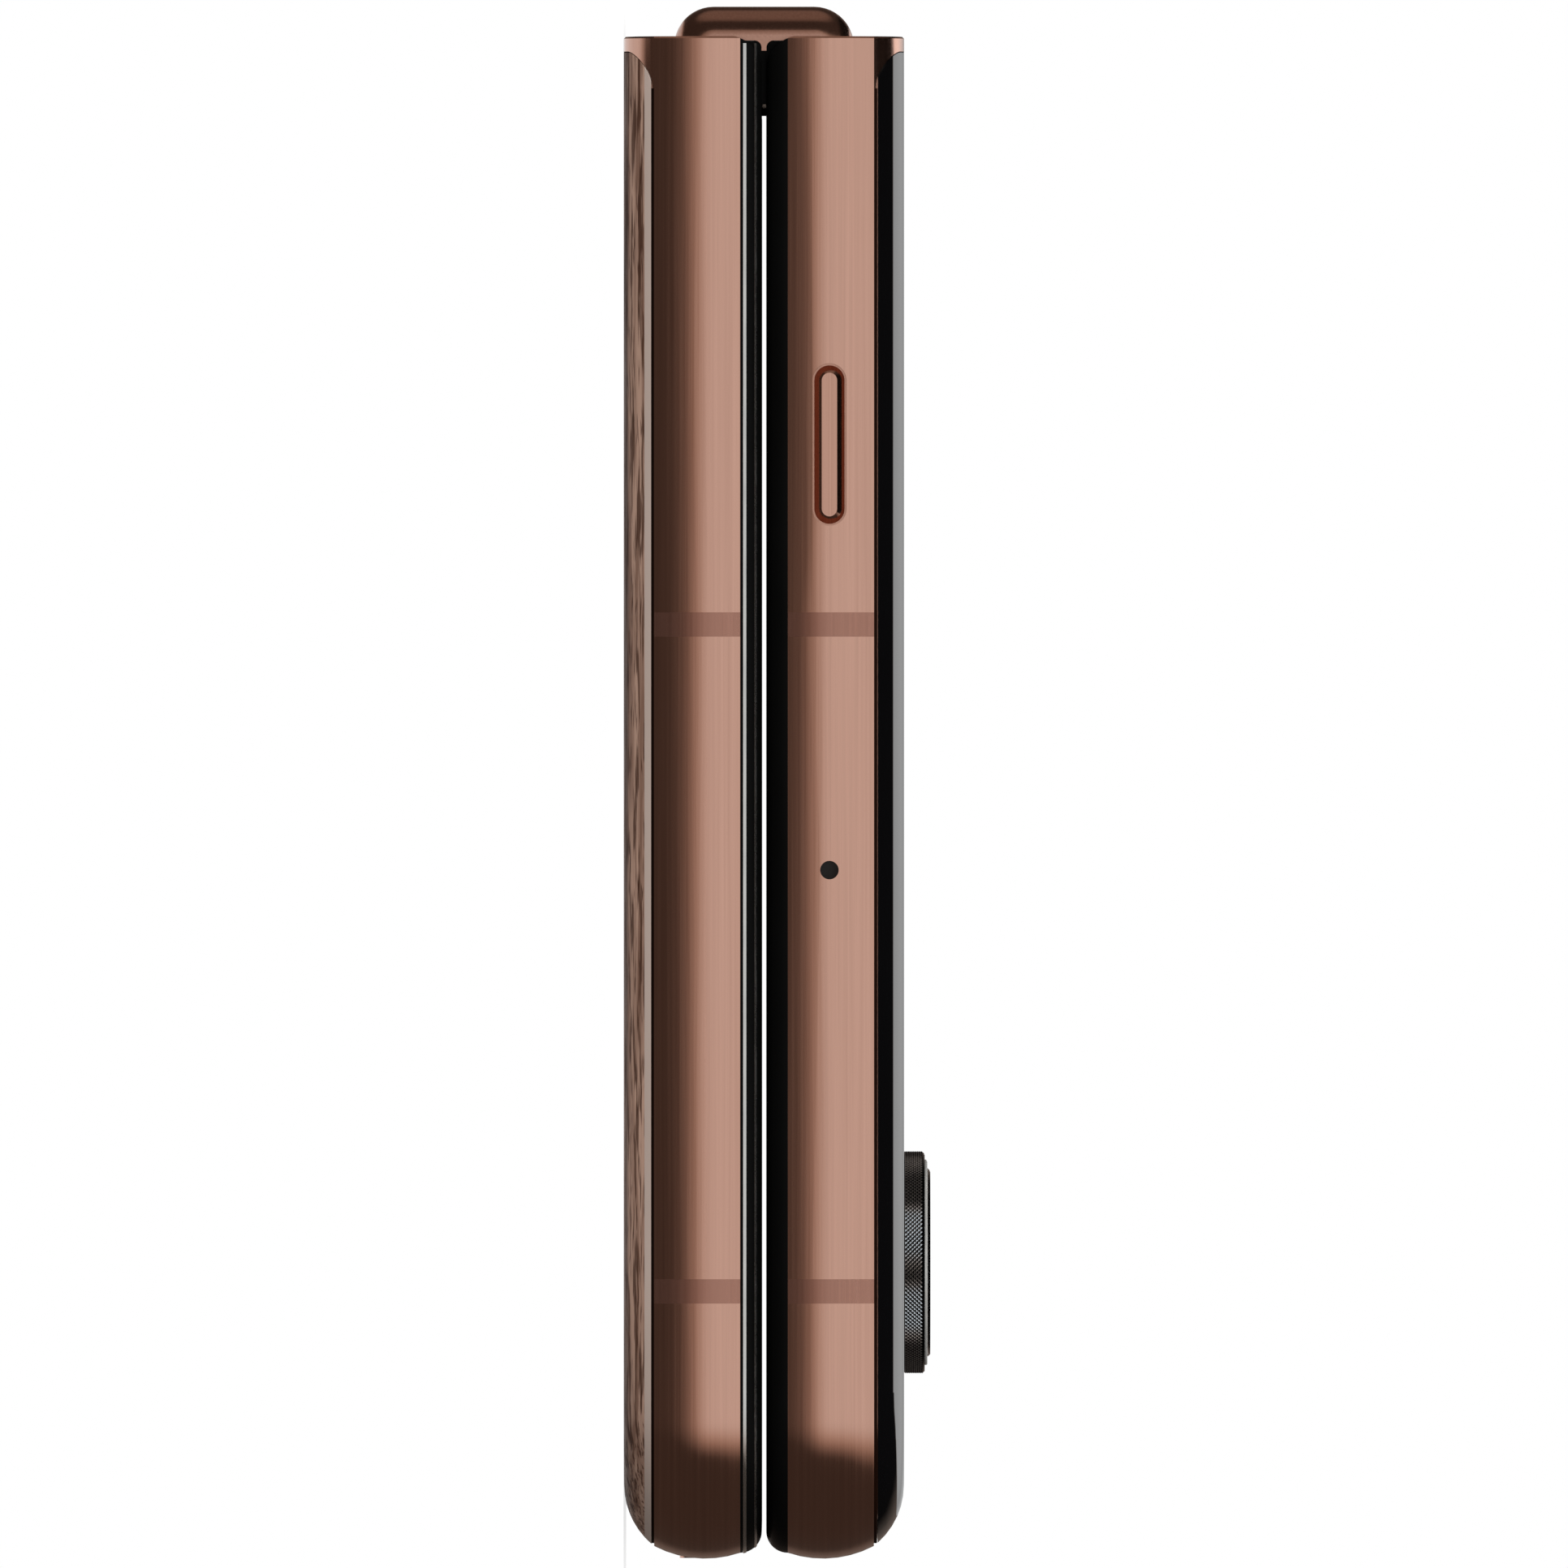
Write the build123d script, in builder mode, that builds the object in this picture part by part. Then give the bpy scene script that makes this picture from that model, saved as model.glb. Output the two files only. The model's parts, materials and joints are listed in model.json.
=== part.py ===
from build123d import *
from math import atan2, cos, degrees, pi, radians, sin, sqrt
import os

os.makedirs("parts", exist_ok=True)

# Driving dimensions, in millimetres. The phone lies closed on its wooden back: z = 0 is the
# back, +Z leaves the cover display, +Y points to the hinge and X runs across, with the assist
# key on the -X side. A depth is measured from the outer face of a half, and an inset from its
# long sides and its round free end.
case_width = 74.0
free_end = -44.05
hinge_end = 42.35
corner_radius = 9.5
half_thick = 7.825
closed_gap = 0.25
spine_rise = 1.7

# Layers of one half, as depths
panel_thick = 1.55
groove_floor = 1.71
ledge_top = 1.2
ledge_floor = 2.2
board_low = 5.1
plate_low = 5.9
band_top = 6.6
display_front = 7.2

# Edges of one half, as insets
panel_flat = 4.2
panel_edge_radius = 4.4
band_radius = 6.2
band_apex = 4.6
wall_inset = 2.2
ledge_inset = 4.4
rim_seam = 5.0
split_depth = 1.2
display_inset = 3.3
bezel_inset = 3.7
bezel_lip = 3.2

# Panels: wood skin on a moulded shell at the back, one rounded glass at the front
veneer_thick = 0.3
veneer_edge = 1.17
shell_thick = 0.45
glass_edge = 1.49
panel_outline = 0.85
panel_end = 41.45
panel_corner = 2.0
panel_foot = 2.1
panel_step = 4.6
seal_depth = 1.05
seal_margin = 0.4
seal_end = 0.6
seam_gap = 0.06
strip_back = 39.4
strip_floor = 2.6
end_bevel = 0.11

# Hinge: one axis for each half, a spine between them
axis_y = 40.3
axis_depth = 5.8
swing_radius = 4.0
swing_flat = 3.95
turn_radius = 2.1
bay_half = 35.6
crossbar_back = 34.4
plate_end = 35.1
bezel_inner_end = 38.3
bezel_tail_in = 35.4

# Hinge arms: a foot under the mid-plate, an arm through the crossbar and a crescent rail
arm_x = 22.0
arm_width = 7.0
arm_low = 4.3
arm_high = 5.25
arm_root = 33.4
arm_tip = 38.75
foot_width = 13.0
foot_back = 28.0
foot_low = 5.0
foot_corner = 1.2
foot_screw_y = 31.0
foot_screw_x = 4.6
rail_radius = 1.9
rail_thick = 0.8
rail_start = -160.0
rail_end = -40.0
rail_play = 0.1
notch_side_play = 0.15
notch_low_play = 0.1
notch_back = 33.9
arm_notch_length = 4.0
gear_notch_length = 3.0

# Screws of the hinge
screw_radius = 0.5
screw_head = 0.95
screw_head_height = 0.45
thread_cover = 0.1
thread_clear = 0.15
spine_thread = 0.5

# Timing gears at the ends of the spine
gear_module = 0.2
sector_teeth = 13
sector_count = 6
sector_tail = 0.5
idler_teeth = 8
gear_in = 33.8
gear_out = 34.4
gear_bore = 0.35
gear_pin = 0.3
pin_end = 33.75
tooth_root = 0.15
tooth_tip = 0.06
tooth_addendum = 0.14
tooth_dedendum = 0.22

# Spine and the blocks inside it
spine_half_width = 5.1
spine_edge = 2.25
spine_wall = 0.8
spine_half_length = 35.5
spine_end_wall = 0.5
spine_end_edge = 1.6
spine_leg = 41.9
spine_end_leg = 41.54
block_half_width = 3.9
block_back = 40.2
block_edge = 1.4
block_cheek = 1.2
flange_length = 3.2
flange_thick = 0.85
flange_half_width = 2.8
loop_y = 39.12
loop_radius = 2.0
loop_clearance = 2.75

# Black caps at the ends of the spine, with two lobes that stand either side of a metal tongue
cap_in = 34.5
cap_back = 38.5
cap_half_width = 2.75
cap_edge = 0.8
cap_play = 0.03
tongue_half = 0.14
lobe_top = 42.12
lobe_round = 0.4

# Keys and holes of the cover half's long sides
key_depth = 4.24
key_travel = 0.25
key_slot_gap = 0.11
key_proud = 0.12
key_bevel = 0.42
power_key_bevel = 0.15
key_flange = 0.4
key_flange_lap = 0.5
key_wall_gap = 0.03
key_spare = 0.06
assist_key_y = 19.2
assist_key_size = (8.98, 1.71)
power_key_y = 19.2
power_key_size = (13.0, 2.28)
volume_key_y = -3.5
volume_key_size = (20.0, 1.71)
side_mic_y = -4.92
side_mic_radius = 0.525
band_split_y = (9.0, -28.8)
band_split_width = 1.38

# Openings in the round free ends
port_depth = 4.1
port_width = 9.1
port_height = 3.3
speaker_x = 16.0
speaker_holes = 6
earpiece_x = -14.0
earpiece_holes = 5
sound_hole_radius = 0.55
sound_hole_pitch = 2.0
base_mic_x = -7.0
cover_mic_x = 7.0
mic_hole_radius = 0.45
tray_x = -17.0
tray_width = 14.4
tray_height = 1.9
tray_gap = 0.1
tray_thick = 0.8
tray_size = (12.4, 18.0)
tray_window = (8.9, 12.4)
tray_bridge = 3.0
tray_floor = 3.6
tray_lap = 0.2

# Rear lenses, flash and front camera
lens_x = (25.0, 9.5)
lens_y = -27.5
lens_radius = 6.325
lens_height = 1.25
lens_step_radius = 5.85
lens_step_height = 1.4
lens_top = 1.57
lens_root = 1.2
lens_neck = 5.7
lens_bore = 5.35
lens_chamfer = 0.22
lens_glass_thick = 0.7
lens_glass_chamfer = 0.12
camera_barrel = 5.0
camera_rise = 0.2
camera_aperture = 2.6
camera_aperture_depth = 0.9
camera_aperture_taper = 20
module_half = 5.3
module_corner = 0.8
module_top = 1.3
flash_x = -3.0
flash_radius = 1.5
flash_sink = 0.05
front_camera_y = -38.3
front_camera_radius = 1.6
front_camera_play = 0.1
front_module_size = 5.6
front_module_height = 2.6

# Outer display under the cover glass
outer_display_thick = 0.4
outer_display_inset = 4.7
outer_display_end = 40.25
outer_display_corner = 3.0
display_hole_play = 0.15

# Inner pieces of the base half
battery_low = 1.4
battery_y = 9.0
battery_corner = 2.0
battery_chamfer = 0.6
base_battery_size = (58.0, 34.0)
coil_y = 8.0
coil_radius = 20.0
coil_turns = 3
coil_pitch = 3.2
coil_width = 2.8
coil_thick = 0.3
ferrite_size = (44.0, 42.0)
ferrite_corner = 5.0
ferrite_thick = 0.25
socket_width = 8.94
socket_height = 3.16
socket_wall = 0.3
socket_length = 7.3
socket_back = 0.8
socket_sink = 0.25
socket_tongue = (6.7, 0.7)
usb_board_place = (5.0, -29.0)
usb_board_size = (52.0, 20.0)
board_corner = 1.5
fit_gap = 0.05
speaker_place = (17.5, -34.5)
speaker_size = (18.0, 14.0)
speaker_chamfer = 0.4
motor_place = (-17.0, -15.0)
motor_size = (14.0, 7.0)
motor_low = 2.6
mic_y = -40.0
mic_size = (2.8, 3.0)
mic_low = 3.2

# Inner pieces of the cover half
cover_battery_size = (60.0, 34.0)
board_strip_y = -15.0
board_strip_size = (60.0, 10.0)
board_wing_place = (-14.0, -24.5)
board_wing_size = (32.0, 22.0)
shield_rows = (
    (-22.0, -24.5, 13.0, 18.0),
    (-6.8, -26.0, 13.0, 13.0),
    (10.0, -15.0, 32.0, 7.5),
)
shield_corner = 0.6
shield_height = 1.4
earpiece_y = -39.0
earpiece_size = (12.0, 4.8)
earpiece_height = 3.2
cover_mic_size = (2.2, 3.0)
cover_mic_height = 2.8
cover_mic_gap = 0.2
small_corner = 1.0
switch_dome = 1.1
switch_height = 0.4
switch_strip = 0.5
switch_strip_rise = 1.4

# Cutters reach this far past what they cut, and bores this far behind the wall
past = 1.0
bore_run = 0.5

# Worked out from the dimensions above
half_width = case_width / 2
total_thick = 2 * half_thick + closed_gap
mid_z = total_thick / 2
corner_x = half_width - corner_radius
corner_y = free_end + corner_radius
cover_axis_z = total_thick - axis_depth
mid_plane = Plane.XY.offset(mid_z)
sides = (-1, 1)
panel_low = veneer_thick + shell_thick
bezel_edge_radius = half_thick - band_top
display_thick = display_front - band_top
spine_top = hinge_end + spine_rise
spine_ceiling = spine_top - spine_wall
inner_half_length = spine_half_length - spine_end_wall
block_half_length = arm_width / 2 + rail_play + block_cheek
flange_screw_x = block_half_length + flange_length / 2
sector_radius = gear_module * sector_teeth / 2
idler_radius = gear_module * idler_teeth / 2
idler_depth = mid_z - idler_radius
idler_y = axis_y + sqrt((sector_radius + idler_radius) ** 2 - (idler_depth - axis_depth) ** 2)
mesh_angle = degrees(atan2(idler_depth - axis_depth, idler_y - axis_y))
tooth_step = 360 / sector_teeth
gear_axes = (
    (axis_y, axis_depth),
    (idler_y, idler_depth),
    (idler_y, total_thick - idler_depth),
    (axis_y, cover_axis_z),
)
socket_mouth = free_end + socket_sink
key_z = total_thick - key_depth
port_z = total_thick - port_depth
board_z = total_thick - plate_low
key_wall = half_width - wall_inset - key_wall_gap
switch_face = key_wall - key_flange - key_travel - key_spare
key_rows = (
    ("assist_key", -1, assist_key_y, assist_key_size, key_bevel),
    ("power_key", 1, power_key_y, power_key_size, power_key_bevel),
    ("volume_key", 1, volume_key_y, volume_key_size, key_bevel),
)


def panel_inset(depth, shell=0.0):
    """Inset of the panel's rounded edge at a depth, or of a surface that much inside it."""
    reach = (panel_edge_radius - shell) ** 2 - (panel_edge_radius - depth) ** 2
    return panel_flat - sqrt(reach)


def band_inset(depth):
    """Inset of the frame's bowed side at a depth."""
    return band_radius - sqrt(band_radius**2 - (depth - band_apex) ** 2)


def panel_arc(depth, shell=0.0):
    """The panel's rounded edge, from its flat face down to a depth."""
    middle = (shell + depth) / 2
    ThreePointArc(
        (panel_flat, shell),
        (panel_inset(middle, shell), middle),
        (panel_inset(depth, shell), depth),
    )


def band_arc():
    """The frame's bowed side, from the groove beside the panel to the bezel."""
    ThreePointArc(
        (band_inset(groove_floor), groove_floor),
        (0, band_apex),
        (band_inset(band_top), band_top),
    )


def case_outline(z, inset, end_y=hinge_end, end_radius=0.0):
    """Outline of one half seen from its face: square at the hinge, round at the free end."""
    low = free_end + inset
    with BuildSketch(Plane.XY.offset(z)) as outline:
        with Locations((0, (end_y + low) / 2)):
            Rectangle(case_width - 2 * inset, end_y - low)
        fillet(outline.vertices().group_by(Axis.Y)[0], corner_radius - inset)
        if end_radius > 0:
            fillet(outline.vertices().group_by(Axis.Y)[-1], end_radius)
    return outline.sketch


def rim(section, end_y=hinge_end):
    """A profile carried down one long side, round the free end and up the other side."""
    side_plane = Plane((-half_width, end_y, 0), x_dir=(1, 0, 0), z_dir=(0, -1, 0))
    corner_plane = Plane((-half_width, corner_y, 0), x_dir=(1, 0, 0), z_dir=(0, -1, 0))
    front_plane = Plane((-corner_x, free_end, 0), x_dir=(0, 1, 0), z_dir=(1, 0, 0))
    with BuildPart() as whole:
        extrude(section(side_plane), amount=end_y - corner_y)
        revolve(section(corner_plane), Axis((-corner_x, corner_y, 0), (0, 0, 1)), 90)
        extrude(section(front_plane), amount=corner_x)
        mirror(about=Plane.YZ)
    return whole.part


def frame_section(plane):
    """Wall of the metal frame with its bowed outside and the ledge that carries the panel."""
    with BuildSketch(plane) as section:
        with BuildLine():
            band_arc()
            Polyline(
                (band_inset(band_top), band_top),
                (wall_inset, band_top),
                (wall_inset, ledge_floor),
                (ledge_inset, ledge_floor),
                (ledge_inset, ledge_top),
                (wall_inset + seam_gap, ledge_top),
                (wall_inset + seam_gap, groove_floor),
                (band_inset(groove_floor), groove_floor),
            )
        make_face()
    return section.sketch


def split_section(plane):
    """Outer part of the frame's wall, which a plastic antenna band replaces."""
    with BuildSketch(plane) as section:
        with BuildLine():
            band_arc()
            Polyline(
                (band_inset(band_top), band_top),
                (split_depth, band_top),
                (split_depth, groove_floor),
                (band_inset(groove_floor), groove_floor),
            )
        make_face()
    return section.sketch


def veneer_section(plane):
    """Rounded edge of the wood skin."""
    edge = veneer_edge
    with BuildSketch(plane) as section:
        with BuildLine():
            panel_arc(edge)
            Polyline((panel_flat, 0), (rim_seam, 0), (rim_seam, veneer_thick), (panel_flat, veneer_thick))
            panel_arc(edge, veneer_thick)
            Line((panel_inset(edge, veneer_thick), edge), (panel_inset(edge), edge))
        make_face()
    return section.sketch


def carrier_section(plane):
    """Edge of the moulded shell: it follows the wood and shows below it as a pale strip."""
    edge = veneer_edge
    middle = (edge + panel_thick) / 2
    with BuildSketch(plane) as section:
        with BuildLine():
            panel_arc(edge, veneer_thick)
            Polyline(
                (panel_flat, veneer_thick),
                (rim_seam, veneer_thick),
                (rim_seam, panel_low),
                (panel_step, panel_low),
                (panel_step, seal_depth),
                (panel_foot, seal_depth),
                (panel_foot, panel_thick),
                (panel_inset(panel_thick), panel_thick),
            )
            ThreePointArc(
                (panel_inset(panel_thick), panel_thick),
                (panel_inset(middle), middle),
                (panel_inset(edge), edge),
            )
            Line((panel_inset(edge), edge), (panel_inset(edge, veneer_thick), edge))
        make_face()
    return section.sketch


def glass_section(plane):
    """Rounded edge of the cover glass."""
    with BuildSketch(plane) as section:
        with BuildLine():
            panel_arc(glass_edge)
            Polyline(
                (panel_flat, 0),
                (rim_seam, 0),
                (rim_seam, panel_low),
                (panel_step, panel_low),
                (panel_step, seal_depth),
                (panel_foot, seal_depth),
                (panel_foot, glass_edge),
                (panel_inset(glass_edge), glass_edge),
            )
        make_face()
    return section.sketch


def seal_section(plane):
    """Flat strip of adhesive between a panel and the frame's ledge."""
    with BuildSketch(plane) as section:
        with Locations((panel_foot + seal_margin, seal_depth)):
            Rectangle(
                ledge_inset - panel_foot - seal_margin,
                ledge_top - seal_depth,
                align=(Align.MIN, Align.MIN),
            )
    return section.sketch


def bezel_section(plane):
    """Soft rim round the inner display, rounded outside and lapping the display inside."""
    outer = band_inset(band_top)
    quarter = bezel_edge_radius * sqrt(0.5)
    with BuildSketch(plane) as section:
        with BuildLine():
            ThreePointArc(
                (outer, band_top),
                (outer + bezel_edge_radius - quarter, band_top + quarter),
                (outer + bezel_edge_radius, half_thick),
            )
            Polyline(
                (outer + bezel_edge_radius, half_thick),
                (bezel_inset, half_thick),
                (bezel_inset, display_front),
                (bezel_lip, display_front),
                (bezel_lip, band_top),
                (outer, band_top),
            )
        make_face()
    return section.sketch


def panel_corners():
    """What the panels lose at the two corners beside the hinge."""
    centre_x = half_width - panel_outline - panel_corner
    with BuildSketch(Plane.XY.offset(-past)) as corners:
        for side in sides:
            with Locations((side * centre_x, panel_end - panel_corner)):
                Rectangle(
                    panel_corner + past,
                    panel_corner + past,
                    align=(Align.MIN if side > 0 else Align.MAX, Align.MIN),
                )
                Circle(panel_corner, mode=Mode.SUBTRACT)
    return corners.sketch


def strip_section():
    """Metal across the hinge end, with the same rounded shoulders as the panel."""
    left = -half_width
    middle = panel_thick / 2
    with BuildSketch(Plane.XZ.offset(-hinge_end)) as section:
        with BuildLine():
            ThreePointArc(
                (left + panel_inset(panel_thick), panel_thick),
                (left + panel_inset(middle), middle),
                (left + panel_flat, 0),
            )
            Line((left + panel_flat, 0), (-left - panel_flat, 0))
            ThreePointArc(
                (-left - panel_flat, 0),
                (-left - panel_inset(middle), middle),
                (-left - panel_inset(panel_thick), panel_thick),
            )
            Polyline(
                (-left - panel_inset(panel_thick), panel_thick),
                (-left - band_inset(groove_floor), groove_floor),
                (-left - band_inset(strip_floor), strip_floor),
                (left + band_inset(strip_floor), strip_floor),
                (left + band_inset(groove_floor), groove_floor),
                (left + panel_inset(panel_thick), panel_thick),
            )
        make_face()
    return section.sketch


def end_outline(y, inset):
    """Outline of a half's hinge end, drawn in by an inset."""
    middle = (panel_thick + inset) / 2
    with BuildSketch(Plane.XZ.offset(-y)) as outline:
        with BuildLine():
            for side in sides:
                edge = side * half_width
                ThreePointArc(
                    (edge - side * panel_flat, inset),
                    (edge - side * panel_inset(middle, inset), middle),
                    (edge - side * panel_inset(panel_thick, inset), panel_thick),
                )
                Line(
                    (edge - side * panel_inset(panel_thick, inset), panel_thick),
                    (edge - side * (band_inset(groove_floor) + inset), groove_floor),
                )
                ThreePointArc(
                    (edge - side * (band_inset(groove_floor) + inset), groove_floor),
                    (edge - side * inset, band_apex),
                    (edge - side * (band_inset(band_top) + inset), band_top),
                )
            Line((panel_flat - half_width, inset), (half_width - panel_flat, inset))
            reach = half_width - band_inset(band_top) - inset
            Line((-reach, band_top), (reach, band_top))
        make_face()
    return outline.sketch


def end_bevel_ring():
    """What the bevel round the outside of a half's hinge end takes away."""
    with BuildPart() as ring:
        with BuildSketch(Plane.XZ.offset(end_bevel - hinge_end)):
            with Locations((0, (band_top - past) / 2)):
                Rectangle(case_width + 2 * past, band_top + past)
        extrude(amount=-end_bevel - past)
        with BuildPart(mode=Mode.PRIVATE) as kept:
            loft([end_outline(hinge_end - end_bevel, 0), end_outline(hinge_end, end_bevel)], ruled=True)
        add(kept.part, mode=Mode.SUBTRACT)
    return ring.part


def turn_room():
    """Region outside the circle that the front corner beside the hinge has to turn in."""
    with BuildSketch(Plane.YZ) as room:
        with Locations((axis_y, axis_depth)):
            Rectangle(turn_radius + past, turn_radius + past, align=(Align.MIN, Align.MIN))
            Circle(turn_radius, mode=Mode.SUBTRACT)
    return room.sketch


def half_frame():
    """Frame of one half, with its mid-plate and the crossbar that the hinge swings in."""
    with BuildPart() as frame:
        extrude(strip_section(), amount=hinge_end - strip_back)
        pocket = case_outline(-past, panel_outline - seam_gap, panel_end + seam_gap, panel_corner + seam_gap)
        extrude(pocket, amount=past + groove_floor, mode=Mode.SUBTRACT)
        add(rim(frame_section))
        extrude(case_outline(plate_low, wall_inset, plate_end), amount=band_top - plate_low)
        with BuildSketch(Plane.YZ) as crossbar:
            with Locations((crossbar_back, ledge_top)):
                Rectangle(hinge_end - crossbar_back, plate_low - ledge_top, align=(Align.MIN, Align.MIN))
        extrude(amount=half_width - wall_inset, both=True)
        with BuildSketch(Plane.YZ) as swing:
            with Locations((axis_y, axis_depth)):
                Circle(swing_radius)
                Rectangle(2 * swing_radius, swing_radius, align=(Align.CENTER, Align.MIN))
            with Locations((axis_y, axis_depth - swing_flat)):
                Rectangle(swing_radius, swing_flat, align=(Align.MIN, Align.MIN))
        extrude(amount=bay_half, both=True, mode=Mode.SUBTRACT)
        extrude(turn_room(), amount=half_width, both=True, mode=Mode.SUBTRACT)
        # openings that the hinge arms and the gear sectors pass through
        with BuildSketch(Plane.XY.offset(arm_low - notch_low_play)) as notches:
            for side in sides:
                with Locations((side * arm_x, notch_back)):
                    Rectangle(
                        arm_width + 2 * notch_side_play,
                        arm_notch_length,
                        align=(Align.CENTER, Align.MIN),
                    )
                with Locations((side * (gear_in + gear_out) / 2, plate_end)):
                    Rectangle(gear_out - gear_in, gear_notch_length, align=(Align.CENTER, Align.MIN))
        extrude(amount=plate_low - arm_low + notch_low_play, mode=Mode.SUBTRACT)
        # threaded holes for the screws of the hinge arms
        with BuildSketch(Plane.XY.offset(plate_low)) as threads:
            for side in sides:
                with Locations((side * arm_x, foot_screw_y)):
                    with GridLocations(2 * foot_screw_x, 0, 2, 1):
                        Circle(screw_radius)
        extrude(amount=band_top - plate_low - thread_cover, mode=Mode.SUBTRACT)
        add(end_bevel_ring(), mode=Mode.SUBTRACT)
        # slots of the antenna bands
        for split_y in band_split_y:
            start = Plane((-half_width, split_y + band_split_width / 2, 0), x_dir=(1, 0, 0), z_dir=(0, -1, 0))
            extrude(split_section(start), amount=band_split_width, mode=Mode.SUBTRACT)
            far = Plane((half_width, split_y - band_split_width / 2, 0), x_dir=(-1, 0, 0), z_dir=(0, 1, 0))
            extrude(split_section(far), amount=band_split_width, mode=Mode.SUBTRACT)
    return frame.part


def antenna_bands():
    """The four plastic bands let into the sides of one half."""
    with BuildPart() as bands:
        for split_y in band_split_y:
            start = Plane((-half_width, split_y + band_split_width / 2, 0), x_dir=(1, 0, 0), z_dir=(0, -1, 0))
            extrude(split_section(start), amount=band_split_width)
        mirror(about=Plane.YZ)
    return bands.part


common_frame = half_frame()
common_bands = antenna_bands()


# Base half

with BuildPart() as base_frame:
    add(common_frame)
    # port, speaker holes, microphone hole and tray slot in the round end
    with BuildSketch(Plane.XZ.offset(past - free_end)) as end_holes:
        with Locations((0, port_depth)):
            SlotOverall(port_width, port_height)
        with Locations((speaker_x, port_depth)):
            with GridLocations(sound_hole_pitch, 0, speaker_holes, 1):
                Circle(sound_hole_radius)
        with Locations((base_mic_x, port_depth)):
            Circle(mic_hole_radius)
        with Locations((tray_x, port_depth)):
            SlotOverall(tray_width + 2 * tray_gap, tray_height + 2 * tray_gap)
    extrude(amount=-past - wall_inset - bore_run, mode=Mode.SUBTRACT)
base_frame.part.label = "base_frame"
export_step(base_frame.part, "parts/base_frame.step")

with BuildPart() as base_antenna_inserts:
    add(common_bands)
base_antenna_inserts.part.label = "base_antenna_inserts"
export_step(base_antenna_inserts.part, "parts/base_antenna_inserts.step")

with BuildPart() as back_cover_veneer:
    add(rim(veneer_section, panel_end))
    extrude(case_outline(0, rim_seam, panel_end), amount=veneer_thick)
    extrude(panel_corners(), amount=panel_thick + 2 * past, mode=Mode.SUBTRACT)
back_cover_veneer.part.label = "back_cover_veneer"
export_step(back_cover_veneer.part, "parts/back_cover_veneer.step")

with BuildPart() as back_cover_carrier:
    add(rim(carrier_section, panel_end))
    extrude(case_outline(veneer_thick, rim_seam, panel_end), amount=shell_thick)
    extrude(panel_corners(), amount=panel_thick + 2 * past, mode=Mode.SUBTRACT)
back_cover_carrier.part.label = "back_cover_carrier"
export_step(back_cover_carrier.part, "parts/back_cover_carrier.step")

with BuildPart() as back_cover_seal:
    add(rim(seal_section, panel_end - seal_end))
back_cover_seal.part.label = "back_cover_seal"
export_step(back_cover_seal.part, "parts/back_cover_seal.step")


def half_bezel():
    """Soft rim of one half: whole beside the display, narrow beside the hinge bay."""
    with BuildPart() as bezel:
        add(rim(bezel_section, bezel_inner_end))
        with BuildSketch(Plane.XZ.offset(-bezel_inner_end)) as tail:
            outer = -half_width + band_inset(band_top)
            quarter = bezel_edge_radius * sqrt(0.5)
            with BuildLine():
                ThreePointArc(
                    (outer, band_top),
                    (outer + bezel_edge_radius - quarter, band_top + quarter),
                    (outer + bezel_edge_radius, half_thick),
                )
                Polyline(
                    (outer + bezel_edge_radius, half_thick),
                    (-bezel_tail_in, half_thick),
                    (-bezel_tail_in, band_top),
                    (outer, band_top),
                )
            make_face()
        extrude(amount=bezel_inner_end - hinge_end)
        mirror(about=Plane.YZ)
        extrude(turn_room(), amount=half_width, both=True, mode=Mode.SUBTRACT)
        with BuildSketch(Plane.XY.offset(band_top)) as bay:
            with Locations((0, bezel_inner_end)):
                Rectangle(
                    2 * bay_half,
                    hinge_end + past - bezel_inner_end,
                    align=(Align.CENTER, Align.MIN),
                )
        extrude(amount=half_thick + past - band_top, mode=Mode.SUBTRACT)
    return bezel.part


common_bezel = half_bezel()

with BuildPart() as base_bezel:
    add(common_bezel)
base_bezel.part.label = "base_bezel"
export_step(base_bezel.part, "parts/base_bezel.step")

with BuildPart() as base_display:
    extrude(case_outline(band_top, display_inset, plate_end), amount=display_front - band_top)
base_display.part.label = "base_display"
export_step(base_display.part, "parts/base_display.step")

with BuildPart() as base_battery:
    with BuildSketch(Plane.XY.offset(battery_low)):
        with Locations((0, battery_y)):
            RectangleRounded(*base_battery_size, battery_corner)
    extrude(amount=plate_low - battery_low)
    chamfer(base_battery.edges().group_by(Axis.Z)[0], battery_chamfer)
base_battery.part.label = "base_battery"
export_step(base_battery.part, "parts/base_battery.step")

with BuildPart() as charging_coil:
    with BuildSketch(Plane.XY.offset(panel_low)):
        with Locations((0, coil_y)):
            for turn in range(coil_turns):
                outer = coil_radius - coil_pitch * turn
                Circle(outer)
                Circle(outer - coil_width, mode=Mode.SUBTRACT)
    extrude(amount=coil_thick)
charging_coil.part.label = "charging_coil"
export_step(charging_coil.part, "parts/charging_coil.step")

with BuildPart() as coil_ferrite:
    with BuildSketch(Plane.XY.offset(panel_low + coil_thick)):
        with Locations((0, coil_y)):
            RectangleRounded(*ferrite_size, ferrite_corner)
    extrude(amount=ferrite_thick)
coil_ferrite.part.label = "coil_ferrite"
export_step(coil_ferrite.part, "parts/coil_ferrite.step")

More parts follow.
